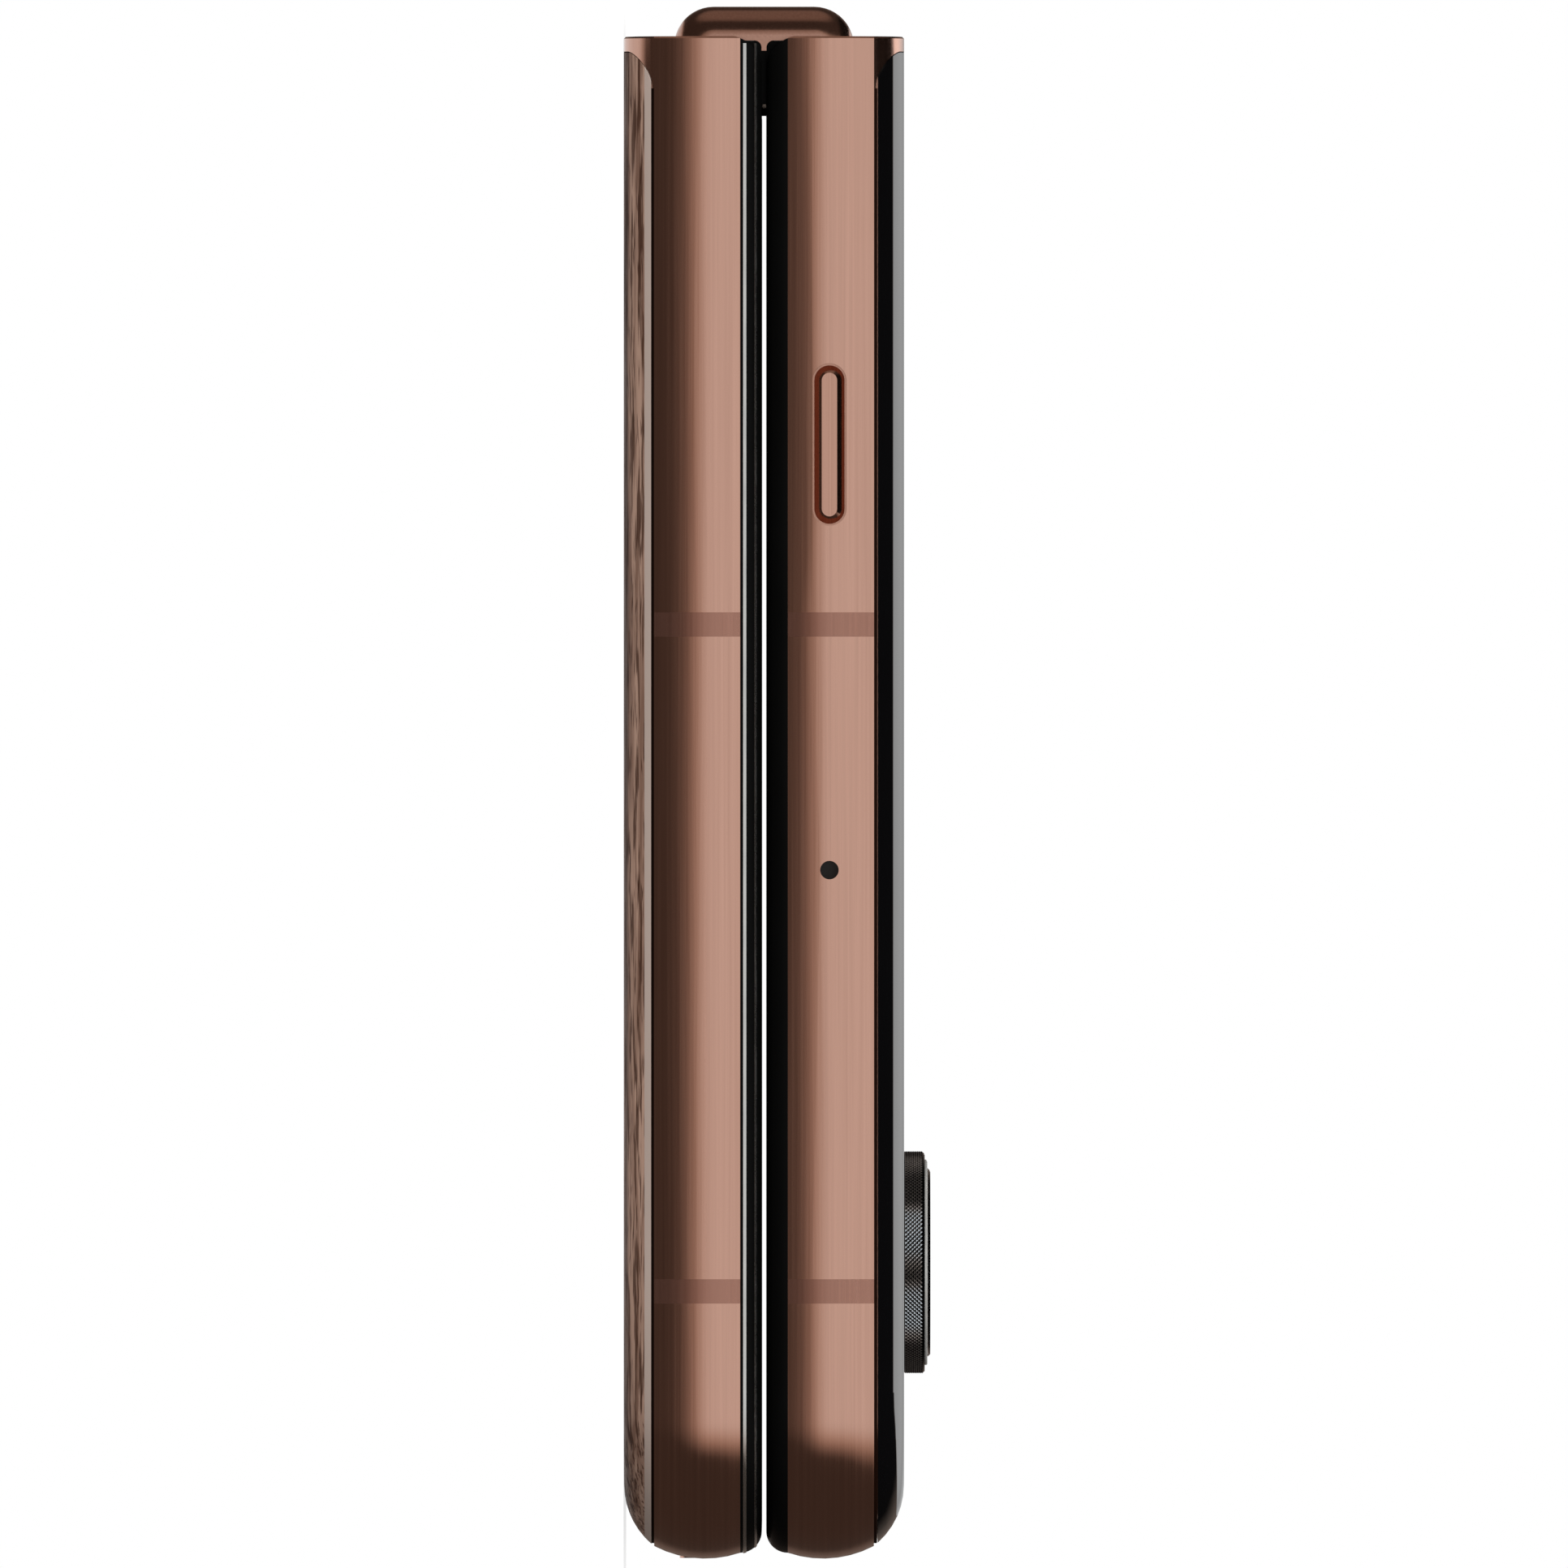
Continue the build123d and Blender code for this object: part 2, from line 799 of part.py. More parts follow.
with BuildPart() as usb_socket:
    with BuildSketch(Plane.XZ.offset(-socket_mouth)):
        with Locations((0, port_depth)):
            SlotOverall(socket_width, socket_height)
    extrude(amount=-socket_length)
    with BuildSketch(Plane.XZ.offset(-socket_mouth)):
        with Locations((0, port_depth)):
            SlotOverall(socket_width - 2 * socket_wall, socket_height - 2 * socket_wall)
    extrude(amount=-socket_length + socket_back, mode=Mode.SUBTRACT)
    with BuildSketch(Plane.XZ.offset(-socket_mouth - socket_length + socket_back)):
        with Locations((0, port_depth)):
            Rectangle(*socket_tongue)
    extrude(amount=socket_length - 2 * socket_back)
usb_socket.part.label = "usb_socket"
export_step(usb_socket.part, "parts/usb_socket.step")

with BuildPart() as usb_board:
    with BuildSketch(Plane.XY.offset(board_low)):
        with Locations(usb_board_place):
            RectangleRounded(*usb_board_size, board_corner)
        with Locations((0, socket_mouth)):
            Rectangle(
                socket_width + 2 * fit_gap,
                socket_length + fit_gap,
                align=(Align.CENTER, Align.MIN),
                mode=Mode.SUBTRACT,
            )
    extrude(amount=plate_low - board_low)
usb_board.part.label = "usb_board"
export_step(usb_board.part, "parts/usb_board.step")

with BuildPart() as loudspeaker:
    with BuildSketch(Plane.XY.offset(ledge_floor + fit_gap)):
        with Locations(speaker_place):
            RectangleRounded(*speaker_size, board_corner)
    extrude(amount=board_low - ledge_floor - fit_gap)
    chamfer(loudspeaker.edges().group_by(Axis.Z)[0], speaker_chamfer)
loudspeaker.part.label = "loudspeaker"
export_step(loudspeaker.part, "parts/loudspeaker.step")

with BuildPart() as vibration_motor:
    with BuildSketch(Plane.XY.offset(motor_low)):
        with Locations(motor_place):
            RectangleRounded(*motor_size, small_corner)
    extrude(amount=plate_low - motor_low)
vibration_motor.part.label = "vibration_motor"
export_step(vibration_motor.part, "parts/vibration_motor.step")

with BuildPart() as base_microphone:
    with BuildSketch(Plane.XY.offset(mic_low)):
        with Locations((base_mic_x, mic_y)):
            Rectangle(*mic_size)
    extrude(amount=board_low - mic_low)
base_microphone.part.label = "base_microphone"
export_step(base_microphone.part, "parts/base_microphone.step")

with BuildPart() as sim_tray:
    with BuildSketch(Plane.XZ.offset(-free_end)) as tray_front:
        with Locations((tray_x, port_depth)):
            SlotOverall(tray_width, tray_height)
    extrude(amount=-wall_inset - tray_lap)
    with BuildSketch(Plane.XY.offset(tray_floor)) as tray_frame:
        with Locations((tray_x, free_end + wall_inset)):
            Rectangle(*tray_size, align=(Align.CENTER, Align.MIN))
        with Locations((tray_x, free_end + wall_inset + tray_bridge)):
            Rectangle(*tray_window, align=(Align.CENTER, Align.MIN), mode=Mode.SUBTRACT)
    extrude(amount=tray_thick)
sim_tray.part.label = "sim_tray"
export_step(sim_tray.part, "parts/sim_tray.step")


def hinge_arms():
    """Two arms of one half, each with the crescent rail that turns about the hinge axis."""
    with BuildPart() as arms:
        with BuildSketch(Plane.YZ.offset(arm_x - arm_width / 2)) as profile:
            with BuildLine():
                inner = rail_radius - rail_thick / 2
                outer = rail_radius + rail_thick / 2
                CenterArc((axis_y, axis_depth), inner, rail_start, rail_end - rail_start)
                CenterArc((axis_y, axis_depth), outer, rail_start, rail_end - rail_start)
                for angle in (rail_start, rail_end):
                    turn = radians(angle)
                    Line(
                        (axis_y + inner * cos(turn), axis_depth + inner * sin(turn)),
                        (axis_y + outer * cos(turn), axis_depth + outer * sin(turn)),
                    )
            make_face()
            with Locations((arm_root, arm_low)):
                Rectangle(arm_tip - arm_root, arm_high - arm_low, align=(Align.MIN, Align.MIN))
        extrude(amount=arm_width)
        with BuildSketch(Plane.XY.offset(foot_low)) as foot:
            with Locations((arm_x, foot_back)):
                Rectangle(foot_width, crossbar_back - foot_back, align=(Align.CENTER, Align.MIN))
            fillet(foot.vertices().group_by(Axis.Y)[0], foot_corner)
            with Locations((arm_x, foot_screw_y)):
                with GridLocations(2 * foot_screw_x, 0, 2, 1):
                    Circle(screw_radius, mode=Mode.SUBTRACT)
        extrude(amount=plate_low - foot_low)
        mirror(about=Plane.YZ)
    return arms.part


def foot_screws():
    """Screws that hold the feet of one half's hinge arms to the mid-plate."""
    with BuildPart() as screws:
        for side in sides:
            with BuildSketch(Plane.XY.offset(foot_low)) as shanks:
                with Locations((side * arm_x, foot_screw_y)):
                    with GridLocations(2 * foot_screw_x, 0, 2, 1):
                        Circle(screw_radius)
            extrude(amount=band_top - thread_clear - foot_low)
            with BuildSketch(Plane.XY.offset(foot_low)) as heads:
                with Locations((side * arm_x, foot_screw_y)):
                    with GridLocations(2 * foot_screw_x, 0, 2, 1):
                        Circle(screw_head)
            extrude(amount=-screw_head_height)
    return screws.part


def gear_plane(x, y, z):
    """Plane across the phone's width with its origin on a gear's axis."""
    return Plane((x, y, z), x_dir=(0, 1, 0), z_dir=(1, 0, 0))


def gear_outline(plane, teeth, first, count):
    """A small gear, or a sector of one, with count teeth from the angle first."""
    radius = gear_module * teeth / 2
    root = radius - tooth_dedendum
    tip = radius + tooth_addendum
    with BuildSketch(mode=Mode.PRIVATE) as tooth:
        with BuildLine():
            Polyline(
                (root / 2, -tooth_root),
                (root, -tooth_root),
                (tip, -tooth_tip),
                (tip, tooth_tip),
                (root, tooth_root),
                (root / 2, tooth_root),
                close=True,
            )
        make_face()
    with BuildSketch(plane) as wheel:
        RegularPolygon(root, 2 * teeth, rotation=first)
        with PolarLocations(0, count, first, count * 360 / teeth):
            add(tooth.sketch)
        Circle(gear_bore, mode=Mode.SUBTRACT)
    return wheel.sketch


with BuildPart() as base_wing_brackets:
    add(hinge_arms())
base_wing_brackets.part.label = "base_wing_brackets"
export_step(base_wing_brackets.part, "parts/base_wing_brackets.step")

with BuildPart() as base_sync_sectors:
    hub = gear_plane(gear_in, axis_y, axis_depth)
    extrude(
        gear_outline(hub, sector_teeth, mesh_angle - 4 * tooth_step, sector_count),
        amount=gear_out - gear_in,
    )
    with BuildSketch(Plane.YZ.offset(gear_in)):
        with Locations((plate_end, arm_low + fit_gap)):
            Rectangle(
                axis_y - sector_tail - plate_end,
                arm_high - arm_low - fit_gap,
                align=(Align.MIN, Align.MIN),
            )
    extrude(amount=gear_out - gear_in)
    mirror(about=Plane.YZ)
base_sync_sectors.part.label = "base_sync_sectors"
export_step(base_sync_sectors.part, "parts/base_sync_sectors.step")

with BuildPart() as base_screws:
    add(foot_screws())
base_screws.part.label = "base_screws"
export_step(base_screws.part, "parts/base_screws.step")

# Spine


def end_lobes(inner, outer, top):
    """Two round-shouldered lobes beside the tongue in the middle of the spine's end."""
    with BuildSketch(mode=Mode.PRIVATE) as lobes:
        for side in sides:
            with Locations((spine_end_leg - past, mid_z + side * inner)):
                Rectangle(
                    top - spine_end_leg + past,
                    outer - inner,
                    align=(Align.MIN, Align.MIN if side > 0 else Align.MAX),
                )
        shoulders = lobes.vertices().group_by(Axis.X)[-1].sort_by(lambda vertex: abs(vertex.Y - mid_z))[:2]
        fillet(shoulders, lobe_round)
    return lobes.sketch


with BuildPart() as spine_cover:
    with BuildSketch(Plane.YZ.offset(-spine_half_length)) as crown:
        with Locations((spine_end_leg, mid_z)):
            Rectangle(
                spine_top - spine_end_leg, 2 * spine_half_width, align=(Align.MIN, Align.CENTER)
            )
        fillet(crown.vertices().group_by(Axis.X)[-1], spine_edge)
    extrude(amount=2 * spine_half_length)
    ends = spine_cover.faces().sort_by(Axis.X)
    end_edges = ends[0].edges() + ends[-1].edges()
    fillet(end_edges.filter_by(lambda edge: edge.center().Y > spine_end_leg + fit_gap), spine_end_edge)
    with BuildSketch(Plane.YZ.offset(-inner_half_length)) as channel:
        with Locations((spine_end_leg - past, mid_z)):
            Rectangle(
                spine_ceiling - spine_end_leg + past,
                2 * (spine_half_width - spine_wall),
                align=(Align.MIN, Align.CENTER),
            )
        fillet(channel.vertices().group_by(Axis.X)[-1], spine_edge - spine_wall)
        with Locations((spine_end_leg - past, mid_z)):
            Rectangle(
                spine_leg - spine_end_leg + past,
                2 * (spine_half_width + past),
                align=(Align.MIN, Align.CENTER),
            )
    extrude(amount=2 * inner_half_length, mode=Mode.SUBTRACT)
    with BuildSketch(Plane.XZ.offset(-spine_ceiling)) as blind:
        for side in sides:
            with Locations((side * arm_x, mid_z)):
                with GridLocations(2 * flange_screw_x, 0, 2, 1):
                    Circle(screw_radius)
    extrude(amount=-spine_thread, mode=Mode.SUBTRACT)
    # windows in the ends that the black caps fill
    with BuildSketch(Plane.YZ) as windows:
        add(end_lobes(tongue_half, cap_half_width + cap_play, lobe_top))
    extrude(amount=spine_half_length + past, both=True, mode=Mode.SUBTRACT)
spine_cover.part.label = "spine_cover"
export_step(spine_cover.part, "parts/spine_cover.step")

with BuildPart() as hinge_blocks:
    for side in sides:
        with BuildSketch(Plane.YZ.offset(side * arm_x - block_half_length)) as block:
            with Locations((block_back, mid_z)):
                Rectangle(
                    spine_ceiling - block_back, 2 * block_half_width, align=(Align.MIN, Align.CENTER)
                )
            fillet(block.vertices().group_by(Axis.X)[-1], block_edge)
        extrude(amount=2 * block_half_length)
        with BuildSketch(Plane.XZ.offset(-spine_ceiling)) as flange:
            with Locations((side * arm_x, mid_z)):
                Rectangle(2 * (block_half_length + flange_length), 2 * flange_half_width)
                with GridLocations(2 * flange_screw_x, 0, 2, 1):
                    Circle(screw_radius, mode=Mode.SUBTRACT)
        extrude(amount=flange_thick)
        with BuildSketch(Plane.YZ.offset(side * arm_x - block_half_length)) as loop_room:
            with Locations((loop_y, mid_z)):
                Circle(loop_clearance)
        extrude(amount=2 * block_half_length, mode=Mode.SUBTRACT)
        groove_start = side * arm_x - arm_width / 2 - rail_play
        with BuildSketch(Plane.YZ.offset(groove_start)) as grooves:
            with Locations((axis_y, axis_depth), (axis_y, cover_axis_z)):
                Circle(rail_radius + rail_thick / 2 + rail_play)
                Circle(rail_radius - rail_thick / 2 - rail_play, mode=Mode.SUBTRACT)
        extrude(amount=arm_width + 2 * rail_play, mode=Mode.SUBTRACT)
hinge_blocks.part.label = "hinge_blocks"
export_step(hinge_blocks.part, "parts/hinge_blocks.step")

with BuildPart() as hinge_screws:
    for side in sides:
        with BuildSketch(Plane.XZ.offset(flange_thick - spine_ceiling)) as shanks:
            with Locations((side * arm_x, mid_z)):
                with GridLocations(2 * flange_screw_x, 0, 2, 1):
                    Circle(screw_radius)
        extrude(amount=-flange_thick - spine_thread)
        with BuildSketch(Plane.XZ.offset(flange_thick - spine_ceiling)) as heads:
            with Locations((side * arm_x, mid_z)):
                with GridLocations(2 * flange_screw_x, 0, 2, 1):
                    Circle(screw_head)
        extrude(amount=screw_head_height)
hinge_screws.part.label = "hinge_screws"
export_step(hinge_screws.part, "parts/hinge_screws.step")

with BuildPart() as hinge_end_caps:
    with BuildSketch(Plane.YZ.offset(cap_in)) as cap:
        with Locations((cap_back, mid_z)):
            Rectangle(spine_ceiling - cap_back, 2 * cap_half_width, align=(Align.MIN, Align.CENTER))
        fillet(cap.vertices().group_by(Axis.X)[0], cap_edge)
        with Locations(*gear_axes):
            Circle(gear_pin, mode=Mode.SUBTRACT)
    extrude(amount=inner_half_length - cap_in)
    with BuildSketch(Plane.YZ.offset(inner_half_length)) as face:
        with Locations((cap_back, mid_z)):
            Rectangle(
                spine_end_leg - cap_play - cap_back,
                2 * cap_half_width,
                align=(Align.MIN, Align.CENTER),
            )
        fillet(face.vertices().group_by(Axis.X)[0], cap_edge)
        add(end_lobes(tongue_half + cap_play, cap_half_width, lobe_top - cap_play))
    extrude(amount=spine_end_wall - 2 * cap_play)
    mirror(about=Plane.YZ)
hinge_end_caps.part.label = "hinge_end_caps"
export_step(hinge_end_caps.part, "parts/hinge_end_caps.step")

with BuildPart() as gear_pins:
    with BuildSketch(Plane.YZ.offset(pin_end)):
        with Locations(*gear_axes):
            Circle(gear_pin)
    extrude(amount=inner_half_length - pin_end)
    mirror(about=Plane.YZ)
gear_pins.part.label = "gear_pins"
export_step(gear_pins.part, "parts/gear_pins.step")

with BuildPart() as sync_gear_base:
    gap_angle = mesh_angle + 180 / idler_teeth
    centre = gear_plane(gear_in, idler_y, idler_depth)
    extrude(gear_outline(centre, idler_teeth, 180 + gap_angle, idler_teeth), amount=gear_out - gear_in)
    mirror(about=Plane.YZ)
sync_gear_base.part.label = "sync_gear_base"
export_step(sync_gear_base.part, "parts/sync_gear_base.step")

with BuildPart() as sync_gear_cover:
    centre = gear_plane(gear_in, idler_y, total_thick - idler_depth)
    extrude(gear_outline(centre, idler_teeth, 180 - mesh_angle, idler_teeth), amount=gear_out - gear_in)
    mirror(about=Plane.YZ)
sync_gear_cover.part.label = "sync_gear_cover"
export_step(sync_gear_cover.part, "parts/sync_gear_cover.step")

# The bend of the display is a drop: it leaves each flat wing on a wide arc that opens it out
# and closes on a narrow one inside the spine.
wing_front = mid_z - display_front
loop_run = loop_y - plate_end
opening_radius = (loop_run**2 + wing_front**2 - loop_radius**2) / (2 * (loop_radius - wing_front))
opening_u = wing_front + opening_radius
lean = atan2(opening_u, loop_run)


def loop_line(radius_in, radius_out, sign):
    """One side of the drop, from the wing to the bottom of the loop, at a given surface."""
    meet = (loop_y - radius_in * cos(lean), mid_z + sign * radius_in * sin(lean))
    start = (plate_end, mid_z + sign * (opening_u - radius_out))
    middle = (lean + pi / 2) / 2
    bow = (
        plate_end + radius_out * cos(middle),
        mid_z + sign * (opening_u - radius_out * sin(middle)),
    )
    ThreePointArc(start, bow, meet)
    return start, meet


with BuildPart() as display_fold:
    with BuildSketch(Plane.YZ.offset(-half_width + display_inset)) as drop:
        with BuildLine():
            ends_front = [loop_line(loop_radius, opening_radius, sign) for sign in sides]
            ThreePointArc(ends_front[0][1], (loop_y + loop_radius, mid_z), ends_front[1][1])
            back_radius = loop_radius + display_thick
            ends_back = [loop_line(back_radius, opening_radius - display_thick, sign) for sign in sides]
            ThreePointArc(ends_back[0][1], (loop_y + back_radius, mid_z), ends_back[1][1])
            for front, back in zip(ends_front, ends_back):
                Line(front[0], back[0])
        make_face()
    extrude(amount=2 * (half_width - display_inset))
display_fold.part.label = "display_fold"
export_step(display_fold.part, "parts/display_fold.step")

# Cover half: what both halves share is the base half's, mirrored about the middle plane

with BuildPart() as cover_frame:
    mirror(common_frame, about=mid_plane)
    for key_name, side, y, key_size, bevel in key_rows:
        with BuildSketch(Plane.YZ.offset(side * (half_width + past))) as key_slot:
            with Locations((y, key_z)):
                SlotOverall(key_size[0] + 2 * key_slot_gap, key_size[1] + 2 * key_slot_gap)
        extrude(amount=-side * (past + wall_inset + bore_run), mode=Mode.SUBTRACT)
    with BuildSketch(Plane.YZ.offset(-half_width - past)) as side_mic:
        with Locations((side_mic_y, key_z)):
            Circle(side_mic_radius)
    extrude(amount=past + wall_inset + bore_run, mode=Mode.SUBTRACT)
    with BuildSketch(Plane.XZ.offset(past - free_end)) as end_holes:
        with Locations((earpiece_x, port_z)):
            with GridLocations(sound_hole_pitch, 0, earpiece_holes, 1):
                Circle(sound_hole_radius)
        with Locations((cover_mic_x, port_z)):
            Circle(mic_hole_radius)
    extrude(amount=-past - wall_inset - bore_run, mode=Mode.SUBTRACT)
    with BuildSketch(Plane.XY.offset(total_thick - band_top)) as camera_hole:
        with Locations((0, front_camera_y)):
            Circle(front_camera_radius + front_camera_play)
    extrude(amount=band_top - plate_low, both=True, mode=Mode.SUBTRACT)
cover_frame.part.label = "cover_frame"
export_step(cover_frame.part, "parts/cover_frame.step")

with BuildPart() as cover_antenna_inserts:
    mirror(common_bands, about=mid_plane)
cover_antenna_inserts.part.label = "cover_antenna_inserts"
export_step(cover_antenna_inserts.part, "parts/cover_antenna_inserts.step")


def glass_panel():
    """Cover glass as it would lie on the base half."""
    with BuildPart() as panel:
        add(rim(glass_section, panel_end))
        extrude(case_outline(0, rim_seam, panel_end), amount=panel_low)
        extrude(panel_corners(), amount=panel_thick + 2 * past, mode=Mode.SUBTRACT)
    return panel.part


with BuildPart() as cover_glass:
    mirror(glass_panel(), about=mid_plane)
    with BuildSketch(Plane.XY.offset(total_thick)) as glass_holes:
        for x in lens_x:
            with Locations((x, lens_y)):
                Circle(lens_neck)
        with Locations((flash_x, lens_y)):
            Circle(flash_radius)
    extrude(amount=-panel_low, mode=Mode.SUBTRACT)
cover_glass.part.label = "cover_glass"
export_step(cover_glass.part, "parts/cover_glass.step")

with BuildPart() as cover_glass_seal:
    mirror(rim(seal_section, panel_end - seal_end), about=mid_plane)
cover_glass_seal.part.label = "cover_glass_seal"
export_step(cover_glass_seal.part, "parts/cover_glass_seal.step")

with BuildPart() as outer_display:
    extrude(
        case_outline(
            total_thick - panel_low, outer_display_inset, outer_display_end, outer_display_corner
        ),
        amount=-outer_display_thick,
    )
    with BuildSketch(Plane.XY.offset(total_thick - panel_low)) as display_holes:
        for x in lens_x:
            with Locations((x, lens_y)):
                Circle(lens_neck + display_hole_play)
        with Locations((flash_x, lens_y)):
            Circle(flash_radius + display_hole_play)
    extrude(amount=-outer_display_thick, mode=Mode.SUBTRACT)
outer_display.part.label = "outer_display"
export_step(outer_display.part, "parts/outer_display.step")

for lens_name, x in zip(("main", "wide"), lens_x):
    with BuildPart() as lens_ring:
        with BuildSketch(Plane.XY.offset(total_thick)) as collar:
            with Locations((x, lens_y)):
                Circle(lens_radius)
        extrude(amount=lens_height)
        chamfer(lens_ring.edges().filter_by(GeomType.CIRCLE), lens_chamfer)
        with BuildSketch(Plane.XY.offset(total_thick + lens_height)) as step:
            with Locations((x, lens_y)):
                Circle(lens_step_radius)
        extrude(amount=lens_step_height - lens_height)
        with BuildSketch(Plane.XY.offset(total_thick)) as neck:
            with Locations((x, lens_y)):
                Circle(lens_neck)
        extrude(amount=-lens_root)
        with BuildSketch(Plane.XY.offset(total_thick - lens_root)) as bore:
            with Locations((x, lens_y)):
                Circle(lens_bore)
        extrude(amount=lens_root + lens_step_height, mode=Mode.SUBTRACT)
    lens_ring.part.label = f"lens_ring_{lens_name}"
    export_step(lens_ring.part, f"parts/lens_ring_{lens_name}.step")

    with BuildPart() as lens_glass:
        with BuildSketch(Plane.XY.offset(total_thick + lens_top)) as window:
            with Locations((x, lens_y)):
                Circle(lens_bore)
        extrude(amount=-lens_glass_thick)
        chamfer(lens_glass.edges().group_by(Axis.Z)[-1], lens_glass_chamfer)
    lens_glass.part.label = f"lens_glass_{lens_name}"
    export_step(lens_glass.part, f"parts/lens_glass_{lens_name}.step")

    with BuildPart() as camera_module:
        with BuildSketch(Plane.XY.offset(total_thick - plate_low)) as body:
            with Locations((x, lens_y)):
                RectangleRounded(2 * module_half, 2 * module_half, module_corner)
        extrude(amount=plate_low - module_top)
        with BuildSketch(Plane.XY.offset(total_thick - module_top)) as barrel:
            with Locations((x, lens_y)):
                Circle(camera_barrel)
        extrude(amount=module_top + camera_rise)
        with BuildSketch(Plane.XY.offset(total_thick + camera_rise)) as aperture:
            with Locations((x, lens_y)):
                Circle(camera_aperture)
        extrude(amount=-camera_aperture_depth, taper=camera_aperture_taper, mode=Mode.SUBTRACT)
    camera_module.part.label = f"camera_module_{lens_name}"
    export_step(camera_module.part, f"parts/camera_module_{lens_name}.step")

with BuildPart() as flash_lens:
    with BuildSketch(Plane.XY.offset(total_thick - flash_sink)) as disc:
        with Locations((flash_x, lens_y)):
            Circle(flash_radius)
    extrude(amount=flash_sink - ledge_top)
flash_lens.part.label = "flash_lens"
export_step(flash_lens.part, "parts/flash_lens.step")

with BuildPart() as cover_bezel:
    mirror(common_bezel, about=mid_plane)
cover_bezel.part.label = "cover_bezel"
export_step(cover_bezel.part, "parts/cover_bezel.step")

with BuildPart() as cover_display:
    extrude(
        case_outline(total_thick - display_front, display_inset, plate_end),
        amount=display_front - band_top,
    )
    with BuildSketch(Plane.XY.offset(total_thick - display_front)) as punch:
        with Locations((0, front_camera_y)):
            Circle(front_camera_radius + front_camera_play)
    extrude(amount=display_thick, mode=Mode.SUBTRACT)
cover_display.part.label = "cover_display"
export_step(cover_display.part, "parts/cover_display.step")

with BuildPart() as front_camera:
    with BuildSketch(Plane.XY.offset(total_thick - display_front + fit_gap)) as eye:
        with Locations((0, front_camera_y)):
            Circle(front_camera_radius)
    extrude(amount=display_front - plate_low)
    with BuildSketch(Plane.XY.offset(total_thick - plate_low)) as module:
        with Locations((0, front_camera_y)):
            RectangleRounded(front_module_size, front_module_size, shield_corner)
    extrude(amount=front_module_height)
front_camera.part.label = "front_camera"
export_step(front_camera.part, "parts/front_camera.step")

with BuildPart() as main_board:
    with BuildSketch(Plane.XY.offset(board_z)) as board:
        with Locations((0, board_strip_y)):
            RectangleRounded(*board_strip_size, small_corner)
        with Locations(board_wing_place):
            RectangleRounded(*board_wing_size, small_corner)
    extrude(amount=plate_low - board_low)
main_board.part.label = "main_board"
export_step(main_board.part, "parts/main_board.step")

with BuildPart() as board_shields:
    with BuildSketch(Plane.XY.offset(board_z + plate_low - board_low)) as shields:
        for x, y, width, length in shield_rows:
            with Locations((x, y)):
                RectangleRounded(width, length, shield_corner)
    extrude(amount=shield_height)
board_shields.part.label = "board_shields"
export_step(board_shields.part, "parts/board_shields.step")

with BuildPart() as cover_battery:
    with BuildSketch(Plane.XY.offset(board_z)) as cell:
        with Locations((0, battery_y)):
            RectangleRounded(*cover_battery_size, battery_corner)
    extrude(amount=plate_low - battery_low)
    chamfer(cover_battery.edges().group_by(Axis.Z)[-1], battery_chamfer)
cover_battery.part.label = "cover_battery"
export_step(cover_battery.part, "parts/cover_battery.step")

with BuildPart() as earpiece:
    with BuildSketch(Plane.XY.offset(board_z)) as capsule:
        with Locations((earpiece_x, earpiece_y)):
            RectangleRounded(*earpiece_size, shield_corner)
    extrude(amount=earpiece_height)
earpiece.part.label = "earpiece"
export_step(earpiece.part, "parts/earpiece.step")

with BuildPart() as cover_microphone:
    with BuildSketch(Plane.XY.offset(board_z)) as capsules:
        with Locations((-half_width + wall_inset + cover_mic_gap, side_mic_y)):
            Rectangle(*cover_mic_size, align=(Align.MIN, Align.CENTER))
        with Locations((cover_mic_x, free_end + wall_inset + cover_mic_gap)):
            Rectangle(*cover_mic_size, rotation=90, align=(Align.MIN, Align.CENTER))
    extrude(amount=cover_mic_height)
cover_microphone.part.label = "cover_microphone"
export_step(cover_microphone.part, "parts/cover_microphone.step")

with BuildPart() as cover_wing_brackets:
    mirror(hinge_arms(), about=mid_plane)
cover_wing_brackets.part.label = "cover_wing_brackets"
export_step(cover_wing_brackets.part, "parts/cover_wing_brackets.step")

with BuildPart() as cover_sync_sectors:
    hub = gear_plane(gear_in, axis_y, cover_axis_z)
    extrude(
        gear_outline(hub, sector_teeth, -mesh_angle - tooth_step / 2, sector_count),
        amount=gear_out - gear_in,
    )
    with BuildSketch(Plane.YZ.offset(gear_in)):
        with Locations((plate_end, total_thick - arm_low - fit_gap)):
            Rectangle(
                axis_y - sector_tail - plate_end,
                arm_high - arm_low - fit_gap,
                align=(Align.MIN, Align.MAX),
            )
    extrude(amount=gear_out - gear_in)
    mirror(about=Plane.YZ)
cover_sync_sectors.part.label = "cover_sync_sectors"
export_step(cover_sync_sectors.part, "parts/cover_sync_sectors.step")

with BuildPart() as cover_screws:
    mirror(foot_screws(), about=mid_plane)
cover_screws.part.label = "cover_screws"
export_step(cover_screws.part, "parts/cover_screws.step")

# Keys: a stem in the frame's slot, a flange behind the wall and a switch behind that
for key_name, side, y, key_size, bevel in key_rows:
    with BuildPart() as key:
        with BuildSketch(Plane.YZ.offset(side * key_wall)) as stem:
            with Locations((y, key_z)):
                SlotOverall(*key_size)
        extrude(amount=side * (half_width + key_proud - key_wall))
        chamfer(key.faces().sort_by(Axis.X)[-1 if side > 0 else 0].edges(), bevel)
        with BuildSketch(Plane.YZ.offset(side * key_wall)) as flange:
            with Locations((y, key_z)):
                SlotOverall(key_size[0] + 2 * key_flange_lap, key_size[1] + 2 * key_flange_lap)
        extrude(amount=-side * key_flange)
    key.part.label = key_name
    export_step(key.part, f"parts/{key_name}.step")

